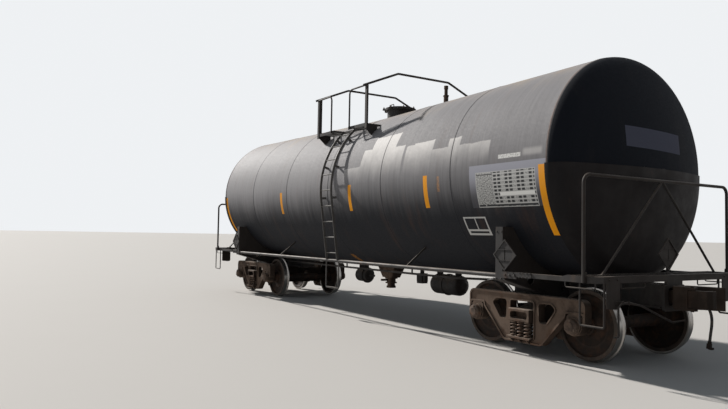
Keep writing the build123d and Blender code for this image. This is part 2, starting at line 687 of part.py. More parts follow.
# Couplers: head and shank on a pin in the stub sill, with a swinging knuckle
body_rows = [(6330, -75, 0), (6370, -170, 50), (6560, -186, 60), (6662, -165, 12),
             (6662, -110, 0), (6548, -40, 20), (6548, 60, 30), (6600, 120, 40), (6720, 160, 60),
             (6810, 215, 20), (6810, 245, 14), (6680, 235, 60), (6440, 190, 60), (6370, 150, 50),
             (6330, 75, 0)]
knuckle_rows = [(6600, -178, 20), (6710, -180, 50), (6790, -145, 50), (6828, -75, 50),
                (6828, 0, 24), (6795, 42, 14), (6742, 36, 12), (6720, 0, 30), (6712, -45, 14),
                (6650, -66, 12), (6560, -80, 8)]
with BuildPart() as coupler:
    with BuildSketch(Plane.XY.offset(coupler_z)):
        add(outline(body_rows))
    extrude(amount=142, both=True)
    with BuildSketch(Plane.XZ):
        add(outline([(6310, coupler_z - 160, 0), (6420, coupler_z - 160, 0),
                     (6340, coupler_z - 70, 60), (6310, coupler_z - 70, 0)]))
        mirror(about=Plane.XY.offset(coupler_z))
    extrude(amount=300, both=True, mode=Mode.SUBTRACT)
    with Locations((5790, 0, coupler_z)):
        Box(6345 - 5790, 140, 150, align=(Align.MIN, Align.CENTER, Align.CENTER))
    with Locations((pin_x, pin_y, coupler_z)):
        Cylinder(68, 224, mode=Mode.SUBTRACT)
        Box(200, 200, 224, align=(Align.MIN, Align.CENTER, Align.CENTER), mode=Mode.SUBTRACT)
        Cylinder(20, 310)
    with Locations((draw_x, 0, coupler_z)):
        Cylinder(draw_pin_r + 1, 300, mode=Mode.SUBTRACT)

with BuildPart() as knuckle:
    with BuildSketch(Plane.XY.offset(coupler_z)):
        add(outline(knuckle_rows))
        with Locations((pin_x, pin_y)):
            Circle(60)
            Circle(20.5, mode=Mode.SUBTRACT)
    extrude(amount=106, both=True)

# Uncoupling lever: hooked handle, bracket and the rod that dips under the coupler
lever = [(6345, -1268, 436), (6345, -1180, 436), (6345, -1190, 770), (6345, -1120, 822),
         (6345, -990, 822), (6345, -770, 780), (6345, -130, 545), (6450, -20, 580)]
with BuildPart() as cut_lever:
    with BuildLine():
        FilletPolyline(*lever, radius=28)
    with BuildSketch(Plane(origin=lever[0], z_dir=(0, 1, 0))):
        Circle(12)
    sweep()
    with Locations((striker_x, -1091, 822)):
        Box(8, 190, 44, align=(Align.MIN, Align.CENTER, Align.CENTER))
    for y in (-1110, -1005):
        with Locations((striker_x, y, 822)):
            Box(60, 16, 44, align=(Align.MIN, Align.CENTER, Align.CENTER))

for body, name in ((coupler, "coupler"), (knuckle, "knuckle")):
    save(body, name + "_a")
    with BuildPart() as other:
        add(body.part, rotation=(0, 0, 180))
    save(other, name + "_b")
with BuildPart() as cut_levers:
    add(cut_lever.part)
    add(cut_lever.part, rotation=(0, 0, 180))
save(cut_levers, "cut_levers")

# Truck side frames, drawn about the middle of one truck. Each is a flat web with a wider rim
# round its outline, two windows beside the columns, and jaws over the bearings.
column_x = bolster_half + column_gap
seat_low = seat_z - seat_t
frame_end = half_base + 173
jaw_in = half_base - 134
jaw_out = half_base + 134
frame_rows = [(-frame_end, frame_top, 95), (frame_end, frame_top, 95), (frame_end, 470, 14),
              (jaw_out, 470, 8), (jaw_out, roof_z, 16), (jaw_in, roof_z, 16), (jaw_in, 560, 60),
              (345, seat_low, 90), (-345, seat_low, 90), (-jaw_in, 560, 60), (-jaw_in, roof_z, 16),
              (-jaw_out, roof_z, 16), (-jaw_out, 470, 8), (-frame_end, 470, 14)]
window_rows = [(300, opening_z, 50), (jaw_in - 240, opening_z, 60), (jaw_in - 165, 628, 36),
               (430, 420, 50), (314, 420, 50)]
bolster_hole = [(-column_x, opening_z, 30), (column_x, opening_z, 30), (column_x, seat_z, 0),
                (-column_x, seat_z, 0)]
holes = [outline(window_rows), mirror(outline(window_rows), about=Plane.YZ), outline(bolster_hole)]
with BuildPart() as frames:
    with BuildSketch(Plane.XZ.offset(frame_y - rim_t / 2)):
        add(outline(frame_rows))
        for hole in holes:
            add(hole, mode=Mode.SUBTRACT)
    extrude(amount=rim_t)
    for face in (frame_y - rim_t / 2, frame_y + web_t / 2):
        with BuildSketch(Plane.XZ.offset(face)):
            offset(outline(frame_rows), amount=-26)
            for hole in holes:
                offset(hole, amount=18, mode=Mode.SUBTRACT)
        extrude(amount=(rim_t - web_t) / 2, mode=Mode.SUBTRACT)
    with Locations((0, -frame_y, seat_z)):
        Box(2 * (column_x - 1), 290, 26, align=(Align.CENTER, Align.CENTER, Align.MAX))
    for dx in (-150, 0, 150):
        with BuildSketch(Plane.YZ.offset(dx)):
            add(outline([(-frame_y - 140, seat_z - 26, 0), (-frame_y + 140, seat_z - 26, 0),
                         (-frame_y + 70, seat_low, 20), (-frame_y - 70, seat_low, 20)]))
        extrude(amount=8, both=True)
    mirror(about=Plane.XZ)

# Truck bolster: deep in the middle under the bowl, with hollow ends that sit on the springs
bolster_rows = [(-bolster_end_y, bolster_end_top, 12), (-900, bolster_end_top, 80),
                (-730, bowl_floor, 60), (730, bowl_floor, 60), (900, bolster_end_top, 80),
                (bolster_end_y, bolster_end_top, 12), (bolster_end_y, bolster_end_low, 12),
                (850, bolster_end_low, 80), (600, 385, 80), (-600, 385, 80),
                (-850, bolster_end_low, 80), (-bolster_end_y, bolster_end_low, 12)]
with BuildPart() as truck_bolster:
    with BuildSketch(Plane.YZ):
        add(outline(bolster_rows))
        for y in (-430, 430):
            with Locations((y, 515)):
                SlotOverall(190, 110, mode=Mode.SUBTRACT)
    extrude(amount=bolster_half, both=True)
    for side in (-1, 1):
        with BuildSketch(Plane.XZ.offset(side * bolster_end_y)):
            with Locations((0, (bolster_end_top + bolster_end_low) / 2)):
                RectangleRounded(2 * bolster_half - 70, bolster_end_top - bolster_end_low - 70, 40)
        extrude(amount=-side * 130, mode=Mode.SUBTRACT)
        with Locations((0, side * bearer_y, bowl_floor)):
            Box(180, 110, 73, align=(Align.CENTER, Align.CENTER, Align.MIN))
    with Locations((0, 0, bowl_floor)):
        Cylinder(240, 30, align=(Align.CENTER, Align.CENTER, Align.MIN))
        Cylinder(bowl_r, 30, align=(Align.CENTER, Align.CENTER, Align.MIN), mode=Mode.SUBTRACT)

with BuildPart() as springs:
    for side in (-1, 1):
        with Locations((0, side * frame_y, seat_z)):
            with GridLocations(125, 140, 3, 2):
                Cylinder(spring_r, bolster_end_low - seat_z,
                         align=(Align.CENTER, Align.CENTER, Align.MIN))

with BuildPart() as bearings:
    for dx in (-half_base, half_base):
        with BuildSketch(Plane.XZ.offset(cup_y0)):
            with Locations((dx, wheel_r)):
                Circle(cup_r)
                Circle(journal_r + 0.5, mode=Mode.SUBTRACT)
        extrude(amount=cup_y1 - cup_y0)
        for face in (cup_y0, cup_y1 - 22):
            with BuildSketch(Plane.XZ.offset(face)):
                with Locations((dx, wheel_r)):
                    Circle(cup_r + 1)
                    Circle(cup_r - 12, mode=Mode.SUBTRACT)
            extrude(amount=22, mode=Mode.SUBTRACT)
    mirror(about=Plane.XZ)

with BuildPart() as adapters:
    for dx in (-half_base, half_base):
        with BuildSketch(Plane.XZ.offset(930)):
            with Locations((dx, 0)):
                add(outline([(-115, 485, 10), (-115, roof_z - 30, 0), (-80, roof_z, 0),
                             (80, roof_z, 0), (115, roof_z - 30, 0), (115, 485, 10)]))
            with Locations((dx, wheel_r)):
                Circle(cup_r + skin, mode=Mode.SUBTRACT)
        extrude(amount=134)
    mirror(about=Plane.XZ)

# Brake beams: a bar between the side frames, a strut and a bowed rod, and a shoe at each wheel
beam_x = half_base - 519
beam_y = frame_y - web_t / 2
shoe_rows = [(-40, 290, 0), (-40, 370, 0), (30, 500, 20), (150, 520, 0), (150, 220, 0),
             (30, 210, 20)]
with BuildPart() as beams:
    for side in (-1, 1):
        with Locations((side * beam_x, 0, 330)):
            Box(60, 2 * 800, 76)
            Box(24, 2 * beam_y, 60)
        with BuildLine():
            FilletPolyline((side * (beam_x + 5), -760, 330), (side * (beam_x - 135), -60, 330),
                           (side * (beam_x - 135), 60, 330), (side * (beam_x + 5), 760, 330),
                           radius=50)
        with BuildSketch(Plane(origin=(side * (beam_x + 5), -760, 330),
                               z_dir=(-side * 140, 700, 0))):
            Circle(16)
        sweep()
        with Locations((side * (beam_x - 70), 0, 330)):
            Box(150, 36, 60)
        for dy in (-760, 760):
            with BuildSketch(Plane.XZ.offset(-dy - 40)):
                add(outline([(side * (beam_x + a), z, r) for a, z, r in shoe_rows]))
                with Locations((side * half_base, wheel_r)):
                    Circle(wheel_r + 8, mode=Mode.SUBTRACT)
            extrude(amount=80)

# Wheelset, turned about its axle: distance from the middle, radius and corner radius
wheelset_rows = [(0, 0, 0), (0, axle_r, 0), (640, 95, 40), (652, 132, 14), (700, 140, 30),
                 (716, 200, 120), (752, 290, 160), (722, 392, 20), (wheel_in_y, 404, 6),
                 (wheel_in_y, 470, 14), (687, flange_r, 9), (703, flange_r, 12), (714, 458, 14),
                 (817, 453, 6), (817, 404, 8), (774, 396, 24), (778, 290, 160), (752, 200, 120),
                 (790, 140, 24), (845, 132, 10), (850, 95, 8), (895, 95, 0), (898, journal_r, 0),
                 (1092, journal_r, 0), (1092, cap_r, 0), (1140, cap_r, 12), (1150, 62, 4),
                 (cap_y, 58, 4), (cap_y, 0, 0)]
with BuildPart() as wheelset:
    with BuildSketch(Plane.YZ.offset(half_base)):
        with Locations((0, wheel_r)):
            add(outline(wheelset_rows))
    revolve(axis=Axis((half_base, 0, wheel_r), (0, 1, 0)))
    mirror(about=Plane.XZ)

truck_parts = ((frames, "side_frames"), (truck_bolster, "truck_bolster"), (springs, "springs"),
               (bearings, "bearing_cups"), (adapters, "bearing_adapters"),
               (beams, "brake_beams"))
for end, tag in ((1, "a"), (-1, "b")):
    for body, name in truck_parts:
        with BuildPart() as placed:
            with Locations(Location((end * truck_x, 0, 0), (0, 0, 90 - 90 * end))):
                add(body.part)
        save(placed, f"{name}_{tag}")
    for side, spot in ((1, "outer"), (-1, "inner")):
        with BuildPart() as placed:
            with Locations(Location((end * truck_x, 0, 0), (0, 0, 90 - 90 * end * side))):
                add(wheelset.part)
        save(placed, f"wheelset_{tag}_{spot}")
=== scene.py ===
import json
import math

import bpy
import numpy as np
from bpy.props import FloatProperty, FloatVectorProperty, IntProperty, PointerProperty
from bpy.types import Operator, Panel, PropertyGroup
from mathutils import Matrix, Vector


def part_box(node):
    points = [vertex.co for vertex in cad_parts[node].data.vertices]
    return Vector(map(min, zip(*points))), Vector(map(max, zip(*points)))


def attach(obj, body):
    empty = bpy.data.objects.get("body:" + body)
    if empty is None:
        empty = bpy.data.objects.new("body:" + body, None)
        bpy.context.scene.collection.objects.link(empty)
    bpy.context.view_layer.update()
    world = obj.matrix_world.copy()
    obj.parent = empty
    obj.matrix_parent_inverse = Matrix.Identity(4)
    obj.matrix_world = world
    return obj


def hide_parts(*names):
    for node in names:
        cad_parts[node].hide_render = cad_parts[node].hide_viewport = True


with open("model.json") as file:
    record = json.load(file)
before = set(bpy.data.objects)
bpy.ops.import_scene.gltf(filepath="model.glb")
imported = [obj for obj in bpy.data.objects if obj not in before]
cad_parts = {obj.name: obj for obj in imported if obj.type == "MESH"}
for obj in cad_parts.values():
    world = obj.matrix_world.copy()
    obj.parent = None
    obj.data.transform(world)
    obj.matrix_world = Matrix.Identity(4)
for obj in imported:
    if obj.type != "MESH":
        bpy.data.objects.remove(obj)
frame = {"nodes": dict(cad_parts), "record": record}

bl_info = {
    "name": "Railway tank car looks",
    "version": (1, 0, 0),
    "blender": (4, 5, 0),
    "location": "View3D > Sidebar > Tank Car",
    "description": "Dresses the packed tank car with its shell, springs, hose, bolts and paint",
    "category": "Object",
}

# Everything is in metres, with Z = 0 at the wheel flange tips, 27 mm below the rail top
LIFT = 0.027

# Tank: two straight halves that rise from the middle to their end seams, and two heads, whose
# own material starts a gap past the seams
TANK_R = 1.535
SEAM_X = 5.567
GIRTH_SEAMS = (0.0, 1.856, 3.71)
HEAD_DEPTH = 0.45
HEAD_KNUCKLE = 0.26
HEAD_PAINT_GAP = 0.02
AXIS_END_Z = 2.523 + LIFT
TILT = math.radians(1.0)
AXIS_MID_Z = AXIS_END_Z - SEAM_X * math.tan(TILT)
HALF_LEN = SEAM_X / math.cos(TILT)

# Manway: the top of its flange, the circle of its bolts, and one bolt's shank and nut
MANWAY_X = 0.25
MANWAY_TOP = 4.15 + LIFT
MANWAY_BOLTS = 8
MANWAY_BOLT_R = 0.334
MANWAY_SHANK = ((-0.03, 0.004), (-0.03, 0.010), (0.04, 0.010), (0.04, 0.004))
MANWAY_NUT = 0.044
MANWAY_NUT_Z = MANWAY_TOP + 0.002

# Trucks: wheels with rim, tread and bearing caps, and springs, with an inner coil's radius,
# bar radius and turns as shares of the outer one's
TRUCK_X = 4.715
HALF_BASE = 0.889
AXLE_Z = 0.457 + LIFT
RIM_R = 0.403
TREAD_R = 0.4515
TREAD_EDGE_Y = 0.806
CAP_START_Y = 1.0885
CAP_FACE_Y = 1.139
CAP_SCREW_R = 0.076
CAP_SCREW_TURNS = (90, 210, 330)
SPRING_X = (-0.125, 0.0, 0.125)
SPRING_Y = (-1.073, -0.933, 0.933, 1.073)
INNER_COIL = (0.55, 0.62, 1.5)
COIL_STEPS = 14
COIL_SIDES = 7

# Bolts on the side sill's gusset and splice plates and on the side post: where the plate or
# post starts along the car, each bolt's distance from there, the face's Y, the heights above
# the rail, and the share of the bolt size. Then those on the end sill
SILL_START_X = TRUCK_X + 0.066
SIDE_BOLTS = ((SILL_START_X, (0.055, 0.14, 0.225), 1.508, (1.065,), 0.8),
              (SILL_START_X, (0.32, 0.372, 0.442, 0.494), 1.508, (1.052, 1.106), 0.6),
              (TRUCK_X, (-0.045, 0.045), 1.5, (1.01, 1.64), 0.7))
END_SILL_X = 6.3
END_SILL_BOLTS_Y = (1.14, 1.29)
END_SILL_BOLTS_Z = 1.09 + LIFT
END_SILL_BOLT_SHARE = 0.7

# Air hose: the points that its curve is drawn to, from the angle cock down to the coupling
HOSE_ROUTE = ((6.515, 0.33, 0.8029), (6.561, 0.33, 0.7232), (6.582, 0.336, 0.623),
              (6.573, 0.343, 0.519), (6.556, 0.346, 0.423), (6.546, 0.345, 0.333))

# Marks on the tank's side, as (start, end, bottom, top): start and end are distances from the
# car's middle along the side, bottom and top are heights above the rail
PANEL = (4.137, 5.552, 1.975, 2.563)
TABLE = (4.266, 5.372, 1.975, 2.461)
TABLE_INSIDE = (4.276, 5.362, 1.984, 2.452)
TABLE_BAR = (4.72, 5.34, 2.126, 2.172)
UPPER_BAR = (4.71, 5.12, 2.625, 2.68)
SMEAR = (5.16, 5.48, 2.635, 2.72)
SMALL_FRAME = (3.852, 4.322, 1.588, 1.849)
FRAME_HOLES = ((3.877, 4.085, 1.672, 1.828), (4.103, 4.297, 1.672, 1.828),
               (3.895, 4.28, 1.616, 1.646))
DARK_SQUARE = (5.43, 5.532, 1.42, 1.60)
WORN_STRIPES = ((3.40, 3.46, 2.24, 2.47), (-0.19, -0.04, 1.03, 1.165))
STRIPES = ((5.43, 5.532, 1.602, 2.492), (3.06, 3.16, 2.0, 2.5), (0.775, 0.875, 2.0, 2.48),
           (-2.18, -2.08, 1.99, 2.46), (-5.54, -5.44, 1.6, 2.47))

# The table's inside: where its two parts meet, where its rows and its columns of cells start
# and repeat, and its two ruled lines
TABLE_SPLIT = 4.60
ROW_START, ROW_PITCH = 1.972, 0.0503
COLUMN_START, COLUMN_PITCH = 4.62, 0.215
UPPER_LINE = (2.418, 2.432)
LOWER_LINE = (1.988, 2.014)

# Faded patches, as (start, end, top edge in degrees above the tank's axis)
PATCHES = ((0.58, 1.15, 13.3), (1.13, 1.42, 25.0), (1.38, 2.14, 34.0), (2.08, 2.43, 23.2),
           (2.50, 2.74, 21.5), (2.70, 3.22, 22.5), (3.18, 3.62, 15.8), (3.59, 3.86, 20.8),
           (3.82, 4.52, 15.5))

# Panel on the A end's head, across the car and above the rail
HEAD_PANEL_Y = (-0.52, 0.67)
HEAD_PANEL_Z = (2.75, 3.02)

# Camera: place, lens, far limit, and its turn, pitch and roll in degrees. Sun: where it stands,
# and its width in degrees
CAMERA_X = 11.1514
CAMERA_Y = -7.7504
CAMERA_TURN = (57.6124, 2.5842, 1.0186)
CAMERA_LENS = 32.15
CAMERA_REACH = 2000.0
SUN_FROM = (-0.85, -0.16, 0.50)
SUN_WIDTH = 2.0
FLOOR_REACH = 400.0

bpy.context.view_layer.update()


def srgb(*tone):
    """Linear colour of a screen tone from 0 to 255."""
    part = [t / 255 for t in tone]
    return tuple(p / 12.92 if p <= 0.04045 else ((p + 0.055) / 1.055) ** 2.4 for p in part)


# Shapes

def put_mesh(name, points, faces):
    """New smooth-shaded mesh object from its points and its faces."""
    mesh = bpy.data.meshes.new(name)
    mesh.from_pydata(points, [], faces)
    mesh.polygons.foreach_set("use_smooth", np.ones(len(mesh.polygons), dtype=bool))
    mesh.update()
    piece = bpy.data.objects.new(name, mesh)
    bpy.context.scene.collection.objects.link(piece)
    return piece


def closed_grid(rings):
    """Points and faces of a grid of rings (ring, column, xyz) that wraps round its columns.

    The first and last ring are closed by a fan to their own middle point. Quads join ring r,
    column c to ring r + 1, column c + 1. The faces are turned over when the sum of
    point . (next x after) over all triangles is negative, so that they look outward.
    """
    count, columns, _ = rings.shape
    points = np.concatenate([rings.reshape(-1, 3), rings[:1].mean(1), rings[-1:].mean(1)])
    row, col = np.meshgrid(np.arange(count - 1), np.arange(columns), indexing="ij")
    after = (col + 1) % columns
    quads = np.stack([row * columns + col, row * columns + after,
                      (row + 1) * columns + after, (row + 1) * columns + col], -1).reshape(-1, 4)
    spoke = np.arange(columns)
    beside = (spoke + 1) % columns
    start = np.stack([np.full(columns, count * columns), beside, spoke], -1)
    last = (count - 1) * columns
    end = np.stack([np.full(columns, count * columns + 1), last + spoke, last + beside], -1)
    fans = np.concatenate([start, end])
    tris = np.concatenate([quads[:, :3], quads[:, [0, 2, 3]], fans])
    centred = points - points.mean(0)
    a, b, c = centred[tris[:, 0]], centred[tris[:, 1]], centred[tris[:, 2]]
    if (a * np.cross(b, c)).sum() < 0:
        quads, fans = quads[:, ::-1], fans[:, ::-1]
    return points, quads, fans


def join_grids(name, grids):
    """One mesh object from several closed grids."""
    points, faces, base = [], [], 0
    for part, quads, fans in (closed_grid(g) for g in grids):
        points.append(part)
        faces += (quads + base).tolist() + (fans + base).tolist()
        base += len(part)
    return put_mesh(name, np.concatenate(points), faces)


def turned(profile, centre, axis, columns):
    """Rings of a profile (distance along the axis, radius) turned about an axis at centre.

    A point is centre + distance times the axis + radius times a spoke, which goes round as
    cos t times one side of the axis + sin t times the other.
    """
    axis = np.asarray(axis, float) / np.linalg.norm(axis)
    side = np.cross(axis, (0.0, 0.0, 1.0) if abs(axis[2]) < 0.9 else (1.0, 0.0, 0.0))
    side /= np.linalg.norm(side)
    other = np.cross(axis, side)
    turn = np.linspace(0, 2 * np.pi, columns, endpoint=False)
    along, radius = np.asarray(profile, float).T
    spoke = np.outer(np.cos(turn), side) + np.outer(np.sin(turn), other)
    return (np.asarray(centre, float) + along[:, None, None] * axis
            + radius[:, None, None] * spoke)


def tube(path, radius, sides):
    """Rings of a round bar carried along a path of points.

    At each point the ring lies across the path's direction, the central difference of its
    neighbours. Its points are radius times (cos t first + sin t second) from the path, where
    first is the part of a fixed vector that is square to the path, and second to both.
    """
    path = np.asarray(path, float)
    along = np.gradient(path, axis=0)
    along /= np.linalg.norm(along, axis=1, keepdims=True)
    fixed = np.array([0.13, 0.21, 0.97])
    first = fixed - (along @ fixed)[:, None] * along
    first /= np.linalg.norm(first, axis=1, keepdims=True)
    second = np.cross(along, first)
    turn = np.linspace(0, 2 * np.pi, sides, endpoint=False)
    return path[:, None] + radius * (np.cos(turn)[None, :, None] * first[:, None]
                                     + np.sin(turn)[None, :, None] * second[:, None])


def hex_bolt(centre, axis, size):
    """Rings of a bolt head: a six-sided prism with a chamfered crown, size across its corners."""
    r = size / 2
    profile = r * np.array([(0, 0.6), (0, 1), (0.62, 1), (0.72, 0.86), (0.72, 0.3)])
    return turned(profile, centre, axis, columns=6)


def coil(centre, low, high, radius, wire, turns):
    """Rings of a spring: a helix whose rise is eased to zero over its first and last turn.

    At share t of the way up, the wire's centre is at angle 2 pi turns t on a circle, and its
    height runs from low + wire to high - wire by the eased share of t.
    """
    t = np.linspace(0, 1, int(turns * COIL_STEPS) + 1)
    ease = 0.5 / turns
    rise = np.clip((t - ease) / (1 - 2 * ease), 0, 1)
    turn = 2 * np.pi * turns * t
    path = np.stack([centre[0] + radius * np.cos(turn), centre[1] + radius * np.sin(turn),
                     low + wire + (high - low - 2 * wire) * rise], -1)
    return tube(path, wire, COIL_SIDES)


def shell_rings(columns, bead_high, bead_wide):
    """Rings of the tank: two straight tilted cylinders and two dished heads, with weld beads.

    For a half that points along +X or -X, a ring at distance s along the half's own axis and
    radius r has its points at r cos t along Y and r sin t square to the axis. Radius is the
    tank's along the straight part, where each weld adds a bead of height (1 - (d/w)^2)^2 at
    distance d, then it follows the knuckle's arc and the crown's arc to the pole. Near the
    middle, s is moved by r sin t tan(tilt), which puts the first ring on the plane X = 0.
    """
    band_rings = 9
    knuckle_rings = 14
    bowl_rings = 26
    bend_reach = 0.6
    rise = TANK_R - HEAD_KNUCKLE
    gap = HEAD_DEPTH - HEAD_KNUCKLE
    crown = (rise ** 2 + gap ** 2) / (2 * gap) + HEAD_KNUCKLE
    centre = HALF_LEN + HEAD_DEPTH - crown
    turn_end = math.atan2(rise, HALF_LEN - centre)
    seams = np.array([*GIRTH_SEAMS, SEAM_X]) / math.cos(TILT)
    near = bead_wide * np.array([-1.6, -1, -0.8, -0.55, -0.3, 0, 0.3, 0.55, 0.8, 1, 1.6])
    plain = np.concatenate([np.linspace(a, b, band_rings)[1:-1]
                            for a, b in zip(seams, seams[1:])])
    s = np.unique(np.concatenate([plain, (seams[:, None] + near).ravel()]))
    s = s[(s >= 0) & (s <= HALF_LEN)]
    gap_to_seam = np.abs(s[:, None] - seams).min(1) / bead_wide
    r = TANK_R + bead_high * np.clip(1 - gap_to_seam ** 2, 0, None) ** 2
    knuckle = np.linspace(math.pi / 2, turn_end, knuckle_rings)
    fade = np.clip(1 - (HEAD_KNUCKLE * np.cos(knuckle) / bead_wide) ** 2, 0, None) ** 2
    s = np.concatenate([s[:-1], HALF_LEN + HEAD_KNUCKLE * np.cos(knuckle)])
    r = np.concatenate([r[:-1], rise + HEAD_KNUCKLE * np.sin(knuckle) + bead_high * fade])
    bowl = np.linspace(turn_end, 0, bowl_rings)[1:-1]
    s = np.concatenate([s, centre + crown * np.cos(bowl)])
    r = np.concatenate([r, crown * np.sin(bowl)])
    turn = np.linspace(0, 2 * np.pi, columns, endpoint=False)
    near_mid = np.clip(1 - s / bend_reach, 0, 1)[:, None]
    along = s[:, None] + r[:, None] * np.sin(turn) * math.tan(TILT) * near_mid
    halves = []
    for end in (-1, 1):
        x = end * (along * math.cos(TILT) - r[:, None] * np.sin(turn) * math.sin(TILT))
        y = r[:, None] * np.cos(turn)
        z = AXIS_MID_Z + along * math.sin(TILT) + r[:, None] * np.sin(turn) * math.cos(TILT)
        halves.append(np.stack([x, y, z], -1))
    return np.concatenate([halves[0][::-1], halves[1][1:]])


# Materials

class Term:
    """A value in a material's node graph that can be used in plain sums."""

    def __init__(self, graph, socket):
        self.graph = graph
        self.socket = socket

    def __add__(self, other):
        return self.graph.math("ADD", self, other)

    def __sub__(self, other):
        return self.graph.math("SUBTRACT", self, other)

    def __rsub__(self, other):
        return self.graph.math("SUBTRACT", other, self)

    def __mul__(self, other):
        return self.graph.math("MULTIPLY", self, other)

    def __truediv__(self, other):
        return self.graph.math("DIVIDE", self, other)

    def __abs__(self):
        return self.graph.math("ABSOLUTE", self)

    __radd__ = __add__
    __rmul__ = __mul__

    def swing(self, reach):
        """A value of 0 to 1, made to go from -reach / 2 to reach / 2."""
        return (self - 0.5) * reach


class Finish:
    """Builds one material: maths on Object coordinates, laid colours and a surface shader."""

    def __init__(self, name, base):
        self.material = bpy.data.materials.new(f"weathered_{name}")
        self.material.use_nodes = True
        self.tree = self.material.node_tree
        self.tree.nodes.clear()
        self.base = tuple(base)
        place = self.tree.nodes.new("ShaderNodeTexCoord")
        split = self.tree.nodes.new("ShaderNodeSeparateXYZ")
        self.tree.links.new(place.outputs["Object"], split.inputs[0])
        self.place = place.outputs["Object"]
        self.x, self.y, self.z = (Term(self, out) for out in split.outputs)
        facing = self.tree.nodes.new("ShaderNodeSeparateXYZ")
        self.tree.links.new(place.outputs["Normal"], facing.inputs[0])
        self.face_x, _, self.face_z = (Term(self, out) for out in facing.outputs)

    def feed(self, slot, value):
        """Links a value to a node's input, or sets it there when it is a plain one."""
        if isinstance(value, Term):
            self.tree.links.new(value.socket, slot)
        elif isinstance(value, bpy.types.NodeSocket):
            self.tree.links.new(value, slot)
        elif isinstance(value, tuple) and len(value) == 3 and slot.type == "RGBA":
            slot.default_value = (*value, 1)
        else:
            slot.default_value = value

    def math(self, operation, *values):
        """One of Blender's maths operations on the values."""
        node = self.tree.nodes.new("ShaderNodeMath")
        node.operation = operation
        for slot, value in zip(node.inputs, values):
            self.feed(slot, value)
        return Term(self, node.outputs[0])

    def larger(self, *values):
        """The largest of the values."""
        found = values[0]
        for value in values[1:]:
            found = self.math("MAXIMUM", found, value)
        return found

    def step(self, value, low, high, start=0.0, end=1.0):
        """Smooth step of a value from start at low to end at high."""
        node = self.tree.nodes.new("ShaderNodeMapRange")
        node.interpolation_type = "SMOOTHSTEP"
        for slot, given in zip(node.inputs, (value, low, high, start, end)):
            self.feed(slot, given)
        return Term(self, node.outputs[0])

    def between(self, value, low, high, soft=0.004):
        """1 between low and high, with soft edges."""
        return (self.step(value, low - soft, low + soft)
                * self.step(value, high - soft, high + soft, 1.0, 0.0))

    def vector(self, x, y, z):
        """Place from three values."""
        node = self.tree.nodes.new("ShaderNodeCombineXYZ")
        for slot, value in zip(node.inputs, (x, y, z)):
            self.feed(slot, value)
        return node.outputs[0]

    def noise(self, where, scale=1.0, detail=3.0, rough=0.5):
        """Noise from 0 to 1 at a place, finer by its scale."""
        node = self.tree.nodes.new("ShaderNodeTexNoise")
        self.feed(node.inputs["Vector"], where)
        node.inputs["Scale"].default_value = scale
        node.inputs["Detail"].default_value = detail
        node.inputs["Roughness"].default_value = rough
        return Term(self, node.outputs[0])

    def mix(self, share, first, second):
        """Colour that goes from first to second as share goes from 0 to 1."""
        node = self.tree.nodes.new("ShaderNodeMix")
        node.data_type = "RGBA"
        self.feed(node.inputs[0], share)
        self.feed(node.inputs[6], first)
        self.feed(node.inputs[7], second)
        return node.outputs[2]

    def lay(self, share, colour):
        """Lays a colour over what is there, by a share from 0 to 1."""
        over = colour if isinstance(colour, bpy.types.NodeSocket) else tuple(colour)
        self.base = self.mix(share, self.base, over)

    def surface(self, rough, metal=0.0, height=None, depth=0.001, **more):
        """Principled shader of the laid colours, with a bump from a height in 0 to 1."""
        shader = self.tree.nodes.new("ShaderNodeBsdfPrincipled")
        self.feed(shader.inputs["Base Color"], self.base)
        self.feed(shader.inputs["Roughness"], rough)
        self.feed(shader.inputs["Metallic"], metal)
        for slot, value in more.items():
            self.feed(shader.inputs[slot.replace("_", " ")], value)
        if height is not None:
            bump = self.tree.nodes.new("ShaderNodeBump")
            bump.inputs["Strength"].default_value = 1.0
            bump.inputs["Distance"].default_value = depth
            self.feed(bump.inputs["Height"], height)
            self.tree.links.new(bump.outputs[0], shader.inputs["Normal"])
        out = self.tree.nodes.new("ShaderNodeOutputMaterial")
        self.tree.links.new(shader.outputs[0], out.inputs[0])
        return self.material


